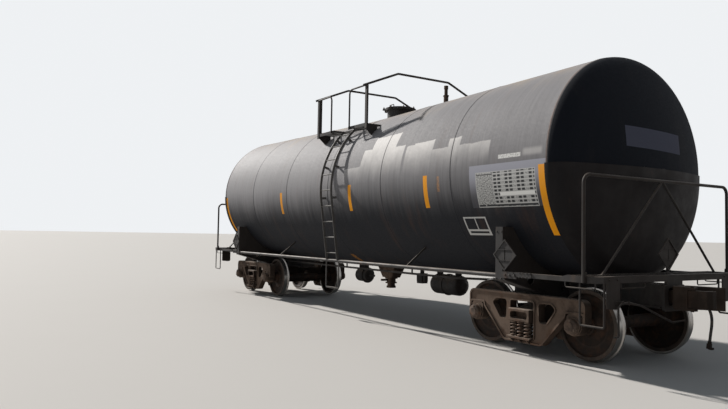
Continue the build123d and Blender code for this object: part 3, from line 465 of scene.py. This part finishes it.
class TankPaint(Finish):
    """Black tank paint, with its weather and its marks laid over it one after another.

    side is X as someone facing that side of the car sees it, so that one layout of stripes
    serves both sides, and near is 1 on the side that has the other marks too. high is the
    height above the rail, rise the height above the tank's own axis, and angle the place's
    angle above that axis in degrees. body is 1 between the head seams and 0 on the heads,
    across goes from -1 to 1 over the crest, and stripes is 1 on the bright stripes. streak,
    fine and cloud are noises drawn out round the tank, and blotch and grain are plain ones.
    """

    def __init__(self, name, paint):
        super().__init__(name, paint.black)
        self.paint = paint
        self.side = self.x * self.math("SIGN", self.y) * -1.0
        self.near = self.step(self.y, -0.02, 0.02, 1.0, 0.0)
        self.high = self.z - LIFT
        self.rise = self.z - AXIS_MID_Z - abs(self.x) * math.tan(TILT)
        self.angle = self.math("DEGREES", self.math("ARCTAN2", self.rise, abs(self.y)))
        self.body = self.step(abs(self.x), SEAM_X - 0.03, SEAM_X + 0.03, 1.0, 0.0)
        self.across = self.step(self.y, -0.9, 0.9, -1.0, 1.0)
        self.streak = self.wash(along=9.0, turn=0.012, shift=1.0, detail=5.0)
        self.fine = self.wash(along=30.0, turn=0.02, shift=3.0, detail=3.0)
        self.cloud = self.wash(along=0.5, turn=0.014, shift=2.0, detail=4.0, rough=0.55)
        self.blotch = self.noise(self.place, scale=2.6, detail=4.0, rough=0.6)
        self.grain = self.noise(self.place, scale=42.0, detail=2.0)
        self.stripes = self.marked(*STRIPES)

    def wash(self, along, turn, shift, detail, rough=0.6):
        """Noise drawn out round the tank.

        along and turn are how fast it changes in a metre along the tank and in a degree round
        it. shift sets how far the two sides differ, which they do smoothly over the crest.
        """
        where = self.vector(self.x * along, self.angle * turn, self.across * shift)
        return self.noise(where, detail=detail, rough=rough)

    def marked(self, *rows, soft=0.004):
        """1 inside any of the rows (start, end, bottom, top) on the tank's side."""
        return self.larger(*(self.between(self.side, start, end, soft)
                             * self.between(self.high, bottom, top, soft)
                             for start, end, bottom, top in rows))

    def seam(self, x, inner, outer):
        """1 within inner of the girth seam that crosses the tank's axis at x, 0 past outer."""
        off = abs(abs(self.x) - x + self.rise * math.sin(TILT))
        return self.step(off, inner, outer, 1.0, 0.0)

    def lay_weather(self):
        """Dulls the sunlit paint, more toward the B end and the crest, partly as painted sheen,
        and lays crest dust and rust runs.
        """
        # Painted sheen, in part: the chalk's share grows toward the B end (far) and toward the
        # crest, standing in for the sun's glare on the paint as well as for dustier paint
        far = self.step(self.x, -5.5, 3.0, 1.0, 0.0)
        sunny = self.angle + far * 5.0 + self.streak.swing(12.0) + self.cloud.swing(12.0)
        tone = (0.64 + far * 0.28 + self.step(self.angle, 40.0, 75.0) * 0.16
                + self.fine.swing(0.26) + self.cloud.swing(0.4) + self.streak.swing(0.26))
        self.lay(self.step(sunny, -26.0, 10.0) * self.body * tone, self.paint.chalk_and_sheen)
        top = self.angle + self.cloud.swing(40.0) + self.streak.swing(20.0)
        crest = self.step(top, 42.0, 76.0) * self.body
        self.lay(crest * (0.35 + 0.65 * self.step(self.blotch, 0.42, 0.62)) * 0.7,
                 self.paint.dust)
        sandy = self.wash(along=1.7, turn=0.05, shift=2.0, detail=5.0)
        self.lay(crest * self.step(sandy, 0.47, 0.68) * 0.4, self.paint.sand)
        runs = self.wash(along=4.0, turn=0.02, shift=5.0, detail=5.0, rough=0.65)
        self.lay(self.step(runs, 0.52, 0.74) * self.body * 0.16, self.paint.rust)

    def lay_patches(self):
        """Lays the faded patches, which are brightest at their top edges."""
        along = self.side + self.blotch.swing(0.03)
        ragged = self.angle + self.streak.swing(1.6) + self.blotch.swing(2.0)
        cover = self.larger(*(self.between(along, start, end, 0.014)
                              * self.step(ragged, top - 0.35, top + 0.35, 1.0, 0.0)
                              for start, end, top in PATCHES))
        fade = self.step(self.angle + self.streak.swing(4.0) + self.blotch.swing(10.0),
                         1.0, 27.0)
        worn = 0.9 + self.fine.swing(0.2) + self.blotch.swing(0.5)
        self.lay(cover * self.near * fade * worn, self.paint.patch)

    def lay_table(self):
        """Lays the newer panel, with painted shade toward its bottom, and the bare ruled table on
        it, with its pale bar.

        The table's left part is speckled, and its right part has rows of dark cells in pairs.
        """
        # Painted shade: the panel's share falls toward its bottom, darkening it into the black
        # below
        panel_share_with_shade = self.step(self.high, 2.1, 2.46, 0.12, 0.95)
        self.lay(self.marked(PANEL) * self.near * panel_share_with_shade, self.paint.panel)
        column = self.math("FRACT", (self.side - COLUMN_START) / COLUMN_PITCH)
        row = self.math("FRACT", (self.high - ROW_START) / ROW_PITCH)
        right = self.step(self.side, TABLE_SPLIT, TABLE_SPLIT + 0.002)
        left = 1.0 - right
        speck = self.noise(self.vector(self.side * 44.0, self.high * 80.0, 0.0), rough=0.6)
        pair = self.larger(self.between(column, 0.0, 0.25, 0.015),
                           self.between(column, 0.36, 0.61, 0.015))
        cell = self.larger(pair * self.step(speck, 0.3, 0.4, 0.8, 1.0),
                           self.step(speck, 0.42, 0.6, 0.0, 0.6))
        dark = self.larger(right * self.between(row, 0.2, 0.82, 0.05) * cell,
                           left * self.step(speck, 0.42, 0.62) * 0.8,
                           self.between(self.high, *UPPER_LINE, 0.003) * left * 0.9,
                           self.between(self.high, *LOWER_LINE, 0.003)
                           * self.step(column, 0.09, 0.1))
        inside = self.marked(TABLE_INSIDE, soft=0.002)
        ink = self.mix(dark * inside * 0.95, tuple(self.paint.table), tuple(self.paint.black))
        self.lay(self.marked(TABLE) * self.near, ink)
        self.lay(self.marked(TABLE_BAR) * self.near, self.paint.label)

    def lay_marks(self):
        """Lays the bar and smear over the table, the small frame, and worn and bright stripes."""
        self.lay(self.marked(UPPER_BAR) * self.near * self.step(self.grain, 0.3, 0.6, 0.35, 0.8),
                 self.paint.label)
        self.lay(self.marked(SMEAR, soft=0.03) * self.near * 0.35, self.paint.patch)
        holes = self.marked(*FRAME_HOLES)
        self.lay(self.marked(SMALL_FRAME) * (1.0 - holes) * self.near, self.paint.table)
        self.lay(self.marked(DARK_SQUARE) * self.near * 0.8, self.paint.black)
        self.lay(self.marked(*WORN_STRIPES) * self.near
                 * self.step(self.grain, 0.4, 0.6, 0.1, 0.28), self.paint.stripe)
        self.lay(self.stripes * self.step(self.blotch, 0.2, 0.6, 0.85, 1.0), self.paint.stripe)

    def lay_seams(self):
        """Darkens the girth welds and lays rust along the head seams."""
        welds = self.larger(*(self.seam(x, 0.008, 0.022) for x in GIRTH_SEAMS))
        self.lay(welds * 0.6, self.paint.black)
        self.lay(self.seam(SEAM_X, 0.006, 0.024) * self.step(self.streak, 0.35, 0.6, 0.25, 0.7),
                 self.paint.rust)

    def lay_heads(self):
        """Lays the heads' own black, the blank panel on the A end's head, and a little soot."""
        head = 1.0 - self.body
        # The heads' black, a little darker and bluer than the body's, is in part painted shade and
        # painted sky reflection
        self.lay(head, self.paint.head)
        panel = (self.step(self.x, SEAM_X, SEAM_X + 0.05) * self.between(self.y, *HEAD_PANEL_Y)
                 * self.between(self.high + self.y * 0.02, *HEAD_PANEL_Z))
        self.lay(panel * 0.9, self.paint.plate)
        soot = self.noise(self.vector(self.y * 2.0, self.z * 0.6, self.x), detail=4.0, rough=0.6)
        self.lay(head * self.step(soot, 0.5, 0.8) * 0.03, self.paint.dust)


def tank_finish(paint, name, shine):
    """Weathered tank paint with its marks. The body and the heads differ in their shine."""
    f = TankPaint(name, paint)
    f.lay_weather()
    f.lay_patches()
    f.lay_table()
    f.lay_marks()
    f.lay_seams()
    f.lay_heads()
    rough = 0.78 - 0.1 * f.step(f.grain, 0.3, 0.7) - f.stripes * 0.15
    dents = f.noise(f.place, scale=1.6, detail=2.0)
    return f.surface(rough, height=dents + f.grain * 0.01, depth=0.003,
                     Specular_IOR_Level=shine)


def metal_finish(paint, name, colour, dusting, rusting, rough, soiling_and_end_shade, pit=0.0006):
    """Painted or cast metal, with shares of dust, rust and oily dirt laid over its colour.

    Rust and dirt lie in broken spots, and dust lies on faces that look up and in faint streaks.
    Grime laid at the car's ends and on faces that look along the car is painted shade on the ends.
    """
    f = Finish(name, colour)
    spots = f.noise(f.place, scale=4.0, detail=6.0, rough=0.6)
    grit = f.noise(f.place, scale=30.0, rough=0.55)
    streaks = f.noise(f.vector(f.x * 8.0, f.y * 8.0, f.z * 1.1), detail=4.0, rough=0.6)
    oil = f.noise(f.place, scale=2.4, detail=5.0, rough=0.65)
    f.lay(f.step(spots + streaks.swing(0.6), 0.66 - 0.3 * rusting, 0.78) * rusting, paint.rust)
    f.lay(f.step(streaks + grit.swing(0.3), 0.42, 0.78) * 0.22 * dusting, paint.dust)
    settled = f.step(f.face_z + grit.swing(0.5) + spots.swing(0.5), 0.2, 0.95)
    f.lay(settled * dusting, paint.dust)
    f.lay(f.step(oil + spots.swing(0.4), 0.45, 0.68) * soiling_and_end_shade, paint.grime_and_shade)
    # Painted shade: grime over everything near the car's ends, such as the couplers, which stand
    # in shade
    f.lay(f.step(abs(f.x), 5.75, 6.1) * soiling_and_end_shade, paint.grime_and_shade)
    # Painted shade: grime on faces that look along the car, darkening the shaded faces at the
    # car's ends
    f.lay(f.step(abs(f.face_x), 0.5, 0.9) * min(1.75 * soiling_and_end_shade, 0.8), paint.grime_and_shade)
    return f.surface(rough - 0.14 * f.step(spots, 0.35, 0.65), height=grit + spots * 0.6,
                     depth=pit, Specular_IOR_Level=0.12)


def wheel_finish(paint):
    """Wheels and axles: grimy turned sides, a worn bright tread and rusty bearing caps.
    The sides are kept dark in part as painted shade, and the caps light in part as painted
    sunlight.

    far is the distance from the nearest axle's line, and out the distance from the car's middle.
    """
    # The wheels' base is the grime's near black, kept dark in part as painted shade from the car
    # body above them
    f = Finish("wheel_steel", paint.grime_and_shade)
    along = abs(abs(abs(f.x) - TRUCK_X) - HALF_BASE)
    high = f.z - AXLE_Z
    far = f.math("SQRT", along * along + high * high)
    out = abs(f.y)
    spots = f.noise(f.place, scale=9.0, detail=6.0, rough=0.65)
    rings = f.noise(f.vector(far * 30.0, out * 4.0, 0.0), rough=0.6)
    f.lay(f.step(spots, 0.42, 0.72) * 0.3, paint.rust)
    f.lay(f.step(rings, 0.5, 0.8) * 0.05, paint.dust)
    rim = f.step(far, RIM_R - 0.005, RIM_R + 0.005) * 0.25
    f.lay(rim * (0.55 + spots.swing(0.8)), paint.dust)
    tread = (f.step(far, TREAD_R - 0.001, TREAD_R + 0.001)
             * f.step(out, TREAD_EDGE_Y - 0.004, TREAD_EDGE_Y + 0.004, 1.0, 0.0))
    f.lay(tread, paint.tread)
    # The bearing caps get steel and rust, laid lighter than the wheels partly as painted sunlight
    # on their faces
    cap = f.step(out, CAP_START_Y - 0.0035, CAP_START_Y + 0.0035)
    f.lay(cap * f.step(spots, 0.35, 0.6, 0.3, 0.9), paint.steel)
    f.lay(cap * f.step(spots, 0.5, 0.65) * 0.5, paint.rust)
    return f.surface(0.72 - 0.4 * tread, metal=tread * 0.9, height=spots, depth=0.0008,
                     Specular_IOR_Level=0.2)


def rubber_finish(paint):
    """Matt hose rubber with dust along it."""
    f = Finish("hose_rubber", paint.rubber)
    worn = f.noise(f.place, scale=26.0, detail=4.0)
    f.lay(f.step(worn, 0.4, 0.75) * 0.5, paint.dust)
    return f.surface(0.75, height=worn, depth=0.0005)


def floor_finish(stage):
    """Plain pale floor with a faint mottle."""
    f = Finish("floor_paint", stage.floor)
    speck = f.noise(f.place, scale=0.6, detail=4.0, rough=0.6)
    f.lay(speck * 0.25, [0.92 * tone for tone in stage.floor])
    return f.surface(0.9, Specular_IOR_Level=0.2)


def dress(piece, finish):
    """Gives a piece one finish in place of any that it has."""
    piece.data.materials.clear()
    piece.data.materials.append(finish)


def finish_named(name):
    """The finish that tankcar.finishes made under this name."""
    found = bpy.data.materials.get(f"weathered_{name}")
    if found is None:
        raise RuntimeError(f"the finish {name} has to be made before it is used")
    return found


# Stage

def set_sun(stage):
    """Adds the one lamp, which shines from above the B end along the car."""
    lamp = bpy.data.lights.new("sun", "SUN")
    lamp.energy = stage.sun
    lamp.angle = math.radians(SUN_WIDTH)
    lamp.color = stage.sunlight
    sun = bpy.data.objects.new("sun", lamp)
    sun.rotation_euler = Vector(SUN_FROM).to_track_quat("Z", "Y").to_euler()
    bpy.context.scene.collection.objects.link(sun)


def set_world(stage):
    """Lights the car from all round, and shows the backdrop to the camera and in reflections."""
    world = bpy.data.worlds.new("studio")
    world.use_nodes = True
    tree = world.node_tree
    tree.nodes.clear()
    path = tree.nodes.new("ShaderNodeLightPath")
    seen = path.outputs["Is Camera Ray"]
    for ray in ("Is Glossy Ray", "Is Transmission Ray"):
        either = tree.nodes.new("ShaderNodeMath")
        either.operation = "MAXIMUM"
        tree.links.new(seen, either.inputs[0])
        tree.links.new(path.outputs[ray], either.inputs[1])
        seen = either.outputs[0]
    light = tree.nodes.new("ShaderNodeBackground")
    light.inputs["Color"].default_value = (*stage.skylight, 1)
    light.inputs["Strength"].default_value = stage.fill
    backdrop = tree.nodes.new("ShaderNodeBackground")
    backdrop.inputs["Color"].default_value = (*stage.sky, 1)
    backdrop.inputs["Strength"].default_value = 1.0
    choice = tree.nodes.new("ShaderNodeMixShader")
    out = tree.nodes.new("ShaderNodeOutputWorld")
    tree.links.new(seen, choice.inputs[0])
    tree.links.new(light.outputs[0], choice.inputs[1])
    tree.links.new(backdrop.outputs[0], choice.inputs[2])
    tree.links.new(choice.outputs[0], out.inputs[0])
    bpy.context.scene.world = world


def set_camera(stage):
    """Places the camera: it looks along +Y, is turned toward -X, pitched up and rolled."""
    turn, pitch, roll = (math.radians(angle) for angle in CAMERA_TURN)
    ahead = Vector((-math.sin(turn) * math.cos(pitch), math.cos(turn) * math.cos(pitch),
                    math.sin(pitch)))
    right = ahead.cross(Vector((0, 0, 1))).normalized()
    up = right.cross(ahead)
    across = math.cos(roll) * right + math.sin(roll) * up
    upward = -math.sin(roll) * right + math.cos(roll) * up
    eye = bpy.data.cameras.new("camera")
    eye.sensor_width = 36.0
    eye.lens = CAMERA_LENS
    eye.clip_end = CAMERA_REACH
    camera = bpy.data.objects.new("camera", eye)
    facing = Matrix((across, upward, -ahead)).transposed().to_4x4()
    camera.matrix_world = Matrix.Translation((CAMERA_X, CAMERA_Y, stage.eye_height)) @ facing
    bpy.context.scene.collection.objects.link(camera)
    bpy.context.scene.camera = camera


# Settings

def tone_property(name, description, default):
    """A colour setting, in linear values."""
    return FloatVectorProperty(name=name, description=description, default=default, size=3,
                               subtype="COLOR", min=0.0, max=1.0)


class TankCarShape(PropertyGroup):
    """Sizes of the pieces that the operators build."""

    shell_columns: IntProperty(name="Shell columns", default=192, min=24, max=512,
                               description="Faces round the tank")
    bead_high: FloatProperty(name="Weld height", default=0.0035, unit="LENGTH",
                             description="How far the girth welds stand proud of the tank")
    bead_wide: FloatProperty(name="Weld half width", default=0.011, unit="LENGTH",
                             description="Half the width of the girth welds")
    coil_radius: FloatProperty(name="Coil radius", default=0.047, unit="LENGTH",
                               description="Middle radius of the outer truck springs")
    coil_wire: FloatProperty(name="Coil bar radius", default=0.0105, unit="LENGTH",
                             description="Radius of the bar that the outer springs are wound from")
    coil_turns: FloatProperty(name="Coil turns", default=5.0,
                              description="Turns in each outer spring")
    bolt_size: FloatProperty(name="Bolt size", default=0.036, unit="LENGTH",
                             description="Size of the structural bolt heads across their corners")
    hose_diameter: FloatProperty(name="Hose diameter", default=0.036, unit="LENGTH",
                                 description="Outside diameter of the air hose")
    hose_length: FloatProperty(name="Hose length", default=0.487, unit="LENGTH",
                               description="Length of the air hose")


class TankCarPaint(PropertyGroup):
    """Colours of the car's paint, metal, dust and rust."""

    black: tone_property("Tank black", "Black tank paint where it is clean", (0.009, 0.010, 0.014))
    # Dulled tank paint; toward the B end and the crest its share also carries a painted sheen
    chalk_and_sheen: tone_property("Chalked black", "Tank paint that the sun has dulled",
                         (0.33, 0.322, 0.335))
    dust: tone_property("Dust", "Dust on faces that look up", (0.36, 0.30, 0.25))
    sand: tone_property("Sand", "Ochre dust in patches along the tank's top", (0.42, 0.31, 0.17))
    patch: tone_property("Faded patch", "Older paint left bright in patches",
                         (0.80, 0.775, 0.755))
    panel: tone_property("Panel", "Newer paint round the bare table", (0.365, 0.37, 0.43))
    # Head black, a little darker and bluer than the body's, in part painted shade and painted sky
    # reflection on the heads
    head: tone_property("Head black", "Tank paint on the heads", (0.008, 0.0095, 0.0135))
    plate: tone_property("Head panel", "Bare panel on the head", (0.085, 0.09, 0.125))
    table: tone_property("Table", "Bare pale table and frame", (0.56, 0.56, 0.55))
    label: tone_property("Pale bar", "Plain pale bars", (0.90, 0.90, 0.88))
    stripe: tone_property("Stripe", "Reflective yellow stripes", srgb(252, 166, 0))
    shield: tone_property("Shield black", "Paint of the head shields", (0.010, 0.009, 0.010))
    frame: tone_property("Frame black", "Paint of sills, posts, pipes and rails",
                         (0.060, 0.058, 0.058))
    # The ladders' grey, lighter than the frame's black, is painted light on their shaded rails
    ladder: tone_property("Ladder", "Worn paint of the ladders", (0.15, 0.145, 0.14))
    steel: tone_property("Cast steel", "Castings under the car", (0.15, 0.108, 0.083))
    tread: tone_property("Tread", "Metal worn bright on the wheels' treads", (0.36, 0.34, 0.32))
    rust: tone_property("Rust", "Rust on wheels and castings", (0.15, 0.066, 0.033))
    # Oily dirt, also laid as painted shade at the car's ends, on faces that look along the car and
    # on the wheels' sides
    grime_and_shade: tone_property("Grime", "Oily dirt", (0.022, 0.016, 0.013))
    rubber: tone_property("Rubber", "Air hose", (0.02, 0.02, 0.021))


class TankCarStage(PropertyGroup):
    """Floor, backdrop, light and camera."""

    floor: tone_property("Floor", "Plain floor", (0.62, 0.60, 0.575))
    sky: tone_property("Backdrop", "Pale backdrop that the camera sees", (0.86, 0.88, 0.90))
    sun: FloatProperty(name="Sun", default=4.8, description="Strength of the one lamp")
    sunlight: tone_property("Sunlight", "Colour of the one lamp", (1.0, 0.965, 0.92))
    fill: FloatProperty(name="Fill", default=0.17, description="Light from all round")
    skylight: tone_property("Skylight", "Colour of the light from all round", (0.78, 0.89, 1.0))
    eye_height: FloatProperty(name="Eye height", default=1.6043, unit="LENGTH",
                              description="Height of the camera above the floor")


# Pieces

class TANKCAR_OT_finishes(Operator):
    """Make the car's materials and put them on the carried-over parts"""

    bl_idname = "tankcar.finishes"
    bl_label = "Paint and Metal"

    def execute(self, context):
        paint = context.scene.tankcar_paint
        tank_finish(paint, "tank_paint", shine=0.25)
        tank_finish(paint, "head_paint", shine=0.06)
        metal_finish(paint, "shield_paint", paint.shield, dusting=0.05, rusting=0.08, rough=0.7,
                     soiling_and_end_shade=0.1)
        metal_finish(paint, "frame_paint", paint.frame, dusting=0.5, rusting=0.3, rough=0.65,
                     soiling_and_end_shade=0.4)
        # Painted light: the ladders get a lighter grey than the frame so that their shaded rails
        # look lit
        metal_finish(paint, "lit_ladder_paint", paint.ladder, dusting=0.3, rusting=0.2, rough=0.65,
                     soiling_and_end_shade=0.2)
        metal_finish(paint, "cast_steel", paint.steel, dusting=0.6, rusting=0.6, rough=0.85,
                     soiling_and_end_shade=0.75, pit=0.0012)
        metal_finish(paint, "spring_steel", paint.steel, dusting=0.4, rusting=0.6, rough=0.75,
                     soiling_and_end_shade=0.8)
        wheel_finish(paint)
        rubber_finish(paint)
        slots = {part["node"]: part["material_slot"] for part in frame["record"]["subparts"]}
        for node, piece in frame["nodes"].items():
            climbed = node.startswith("ladder")
            dress(piece, finish_named("lit_ladder_paint" if climbed else slots[node]))
        return {"FINISHED"}


class TANKCAR_OT_shell(Operator):
    """Build the tank's smooth shell with its weld beads"""

    bl_idname = "tankcar.shell"
    bl_label = "Tank Shell"

    def execute(self, context):
        shape = context.scene.tankcar_shape
        rings = shell_rings(shape.shell_columns, shape.bead_high, shape.bead_wide)
        shell = join_grids("tank_skin", [rings])
        dress(shell, finish_named("tank_paint"))
        shell.data.materials.append(finish_named("head_paint"))
        middles = np.empty(3 * len(shell.data.polygons))
        shell.data.polygons.foreach_get("center", middles)
        x, z = np.abs(middles[0::3]), middles[2::3]
        past_seam = x - SEAM_X + (z - AXIS_END_Z) * math.sin(TILT)
        on_head = (past_seam > HEAD_PAINT_GAP).astype(np.int32)
        shell.data.polygons.foreach_set("material_index", on_head)
        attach(shell, "car_body")
        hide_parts("tank_shell")
        return {"FINISHED"}


class TANKCAR_OT_springs(Operator):
    """Wind the coil springs of both trucks"""

    bl_idname = "tankcar.springs"
    bl_label = "Truck Springs"

    def execute(self, context):
        shape = context.scene.tankcar_shape
        outer = np.array([shape.coil_radius, shape.coil_wire, shape.coil_turns])
        windings = (outer, outer * INNER_COIL)
        for end, tag in ((1, "a"), (-1, "b")):
            low, high = (corner.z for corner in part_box(f"springs_{tag}"))
            grids = [coil((end * TRUCK_X + dx, y), low, high, *winding)
                     for dx in SPRING_X for y in SPRING_Y for winding in windings]
            springs = join_grids(f"coil_springs_{tag}", grids)
            dress(springs, finish_named("spring_steel"))
            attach(springs, f"truck_{tag}")
            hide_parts(f"springs_{tag}")
        return {"FINISHED"}


class TANKCAR_OT_axle_bolts(Operator):
    """Put the cap screws on the bearing caps, which turn with their axle"""

    bl_idname = "tankcar.axle_bolts"
    bl_label = "Bearing Cap Screws"

    def execute(self, context):
        size = context.scene.tankcar_shape.bolt_size
        for end, tag in ((1, "a"), (-1, "b")):
            for side, spot in ((1, "outer"), (-1, "inner")):
                x = end * (TRUCK_X + side * HALF_BASE)
                grids = []
                for face in (-1, 1):
                    for turn in np.radians(CAP_SCREW_TURNS):
                        centre = (x + CAP_SCREW_R * math.cos(turn), face * CAP_FACE_Y,
                                  AXLE_Z + CAP_SCREW_R * math.sin(turn))
                        grids.append(hex_bolt(centre, (0, face, 0), size))
                screws = join_grids(f"cap_screws_{tag}_{spot}", grids)
                dress(screws, finish_named("cast_steel"))
                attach(screws, f"axle_{tag}_{spot}")
        return {"FINISHED"}


class TANKCAR_OT_body_bolts(Operator):
    """Put the structural bolts on the car's sides and on its end sills"""

    bl_idname = "tankcar.body_bolts"
    bl_label = "Body Bolts"

    def execute(self, context):
        size = context.scene.tankcar_shape.bolt_size
        grids = []
        for end in (-1, 1):
            for side in (-1, 1):
                for start, offsets, y, heights, share in SIDE_BOLTS:
                    for dx in offsets:
                        for high in heights:
                            centre = (end * (start + dx), side * y, high + LIFT)
                            grids.append(hex_bolt(centre, (0, side, 0), share * size))
                for y in END_SILL_BOLTS_Y:
                    centre = (end * END_SILL_X, side * y, END_SILL_BOLTS_Z)
                    grids.append(hex_bolt(centre, (end, 0, 0), END_SILL_BOLT_SHARE * size))
        nuts = join_grids("body_bolts", grids)
        dress(nuts, finish_named("frame_paint"))
        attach(nuts, "car_body")
        return {"FINISHED"}


class TANKCAR_OT_manway_bolts(Operator):
    """Stand the manway's bolts with their nuts round its lid"""

    bl_idname = "tankcar.manway_bolts"
    bl_label = "Manway Bolts"

    def execute(self, context):
        grids = []
        for turn in 2 * np.pi * (np.arange(MANWAY_BOLTS) + 0.5) / MANWAY_BOLTS:
            x = MANWAY_X + MANWAY_BOLT_R * math.cos(turn)
            y = MANWAY_BOLT_R * math.sin(turn)
            grids.append(turned(MANWAY_SHANK, (x, y, MANWAY_TOP), (0, 0, 1), columns=10))
            grids.append(hex_bolt((x, y, MANWAY_NUT_Z), (0, 0, 1), MANWAY_NUT))
        eyes = join_grids("manway_bolts", grids)
        dress(eyes, finish_named("cast_steel"))
        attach(eyes, "car_body")
        return {"FINISHED"}


class TANKCAR_OT_hose(Operator):
    """Hang the air hose from the angle cock at the A end"""

    bl_idname = "tankcar.hose"
    bl_label = "Air Hose"

    def execute(self, context):
        shape = context.scene.tankcar_shape
        line = bpy.data.curves.new("air_hose", "CURVE")
        line.dimensions = "3D"
        line.bevel_depth = shape.hose_diameter / 2
        line.bevel_resolution = 5
        line.use_fill_caps = True
        spline = line.splines.new("NURBS")
        spline.points.add(len(HOSE_ROUTE) - 1)
        for point, place in zip(spline.points, HOSE_ROUTE):
            point.co = (*place, 1.0)
        spline.order_u = 3
        spline.use_endpoint_u = True
        spline.resolution_u = 12
        hose = bpy.data.objects.new("air_hose", line)
        context.scene.collection.objects.link(hose)
        dress(hose, finish_named("hose_rubber"))
        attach(hose, "car_body")
        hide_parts("air_hose_a")
        return {"FINISHED"}


class TANKCAR_OT_stage(Operator):
    """Lay the floor, set the light and place the camera"""

    bl_idname = "tankcar.stage"
    bl_label = "Floor, Light and Camera"

    def execute(self, context):
        stage = context.scene.tankcar_stage
        corners = [(-FLOOR_REACH, -FLOOR_REACH, 0), (FLOOR_REACH, -FLOOR_REACH, 0),
                   (FLOOR_REACH, FLOOR_REACH, 0), (-FLOOR_REACH, FLOOR_REACH, 0)]
        floor = put_mesh("floor", corners, [(0, 1, 2, 3)])
        dress(floor, floor_finish(stage))
        set_sun(stage)
        set_world(stage)
        set_camera(stage)
        context.scene.view_settings.view_transform = "Standard"
        return {"FINISHED"}


# The order in which they run: the finishes are made before the pieces that wear them
STEPS = (TANKCAR_OT_stage, TANKCAR_OT_finishes, TANKCAR_OT_hose, TANKCAR_OT_shell,
         TANKCAR_OT_springs, TANKCAR_OT_axle_bolts, TANKCAR_OT_body_bolts,
         TANKCAR_OT_manway_bolts)


class TANKCAR_PT_panel(Panel):
    """Buttons that build the pieces, and their settings"""

    bl_idname = "TANKCAR_PT_panel"
    bl_label = "Tank Car"
    bl_space_type = "VIEW_3D"
    bl_region_type = "UI"
    bl_category = "Tank Car"

    def draw(self, context):
        for step in STEPS:
            self.layout.operator(step.bl_idname)
        for group in (context.scene.tankcar_shape, context.scene.tankcar_paint,
                      context.scene.tankcar_stage):
            box = self.layout.box()
            for name in type(group).__annotations__:
                box.prop(group, name)


CLASSES = (TankCarShape, TankCarPaint, TankCarStage, *STEPS, TANKCAR_PT_panel)


def register():
    for kind in CLASSES:
        bpy.utils.register_class(kind)
    bpy.types.Scene.tankcar_shape = PointerProperty(type=TankCarShape)
    bpy.types.Scene.tankcar_paint = PointerProperty(type=TankCarPaint)
    bpy.types.Scene.tankcar_stage = PointerProperty(type=TankCarStage)


def unregister():
    for name in ("tankcar_shape", "tankcar_paint", "tankcar_stage"):
        delattr(bpy.types.Scene, name)
    for kind in reversed(CLASSES):
        bpy.utils.unregister_class(kind)


def main():
    register()
    for step in STEPS:
        group, name = step.bl_idname.split(".")
        getattr(getattr(bpy.ops, group), name)()


if __name__ == "__main__":
    main()
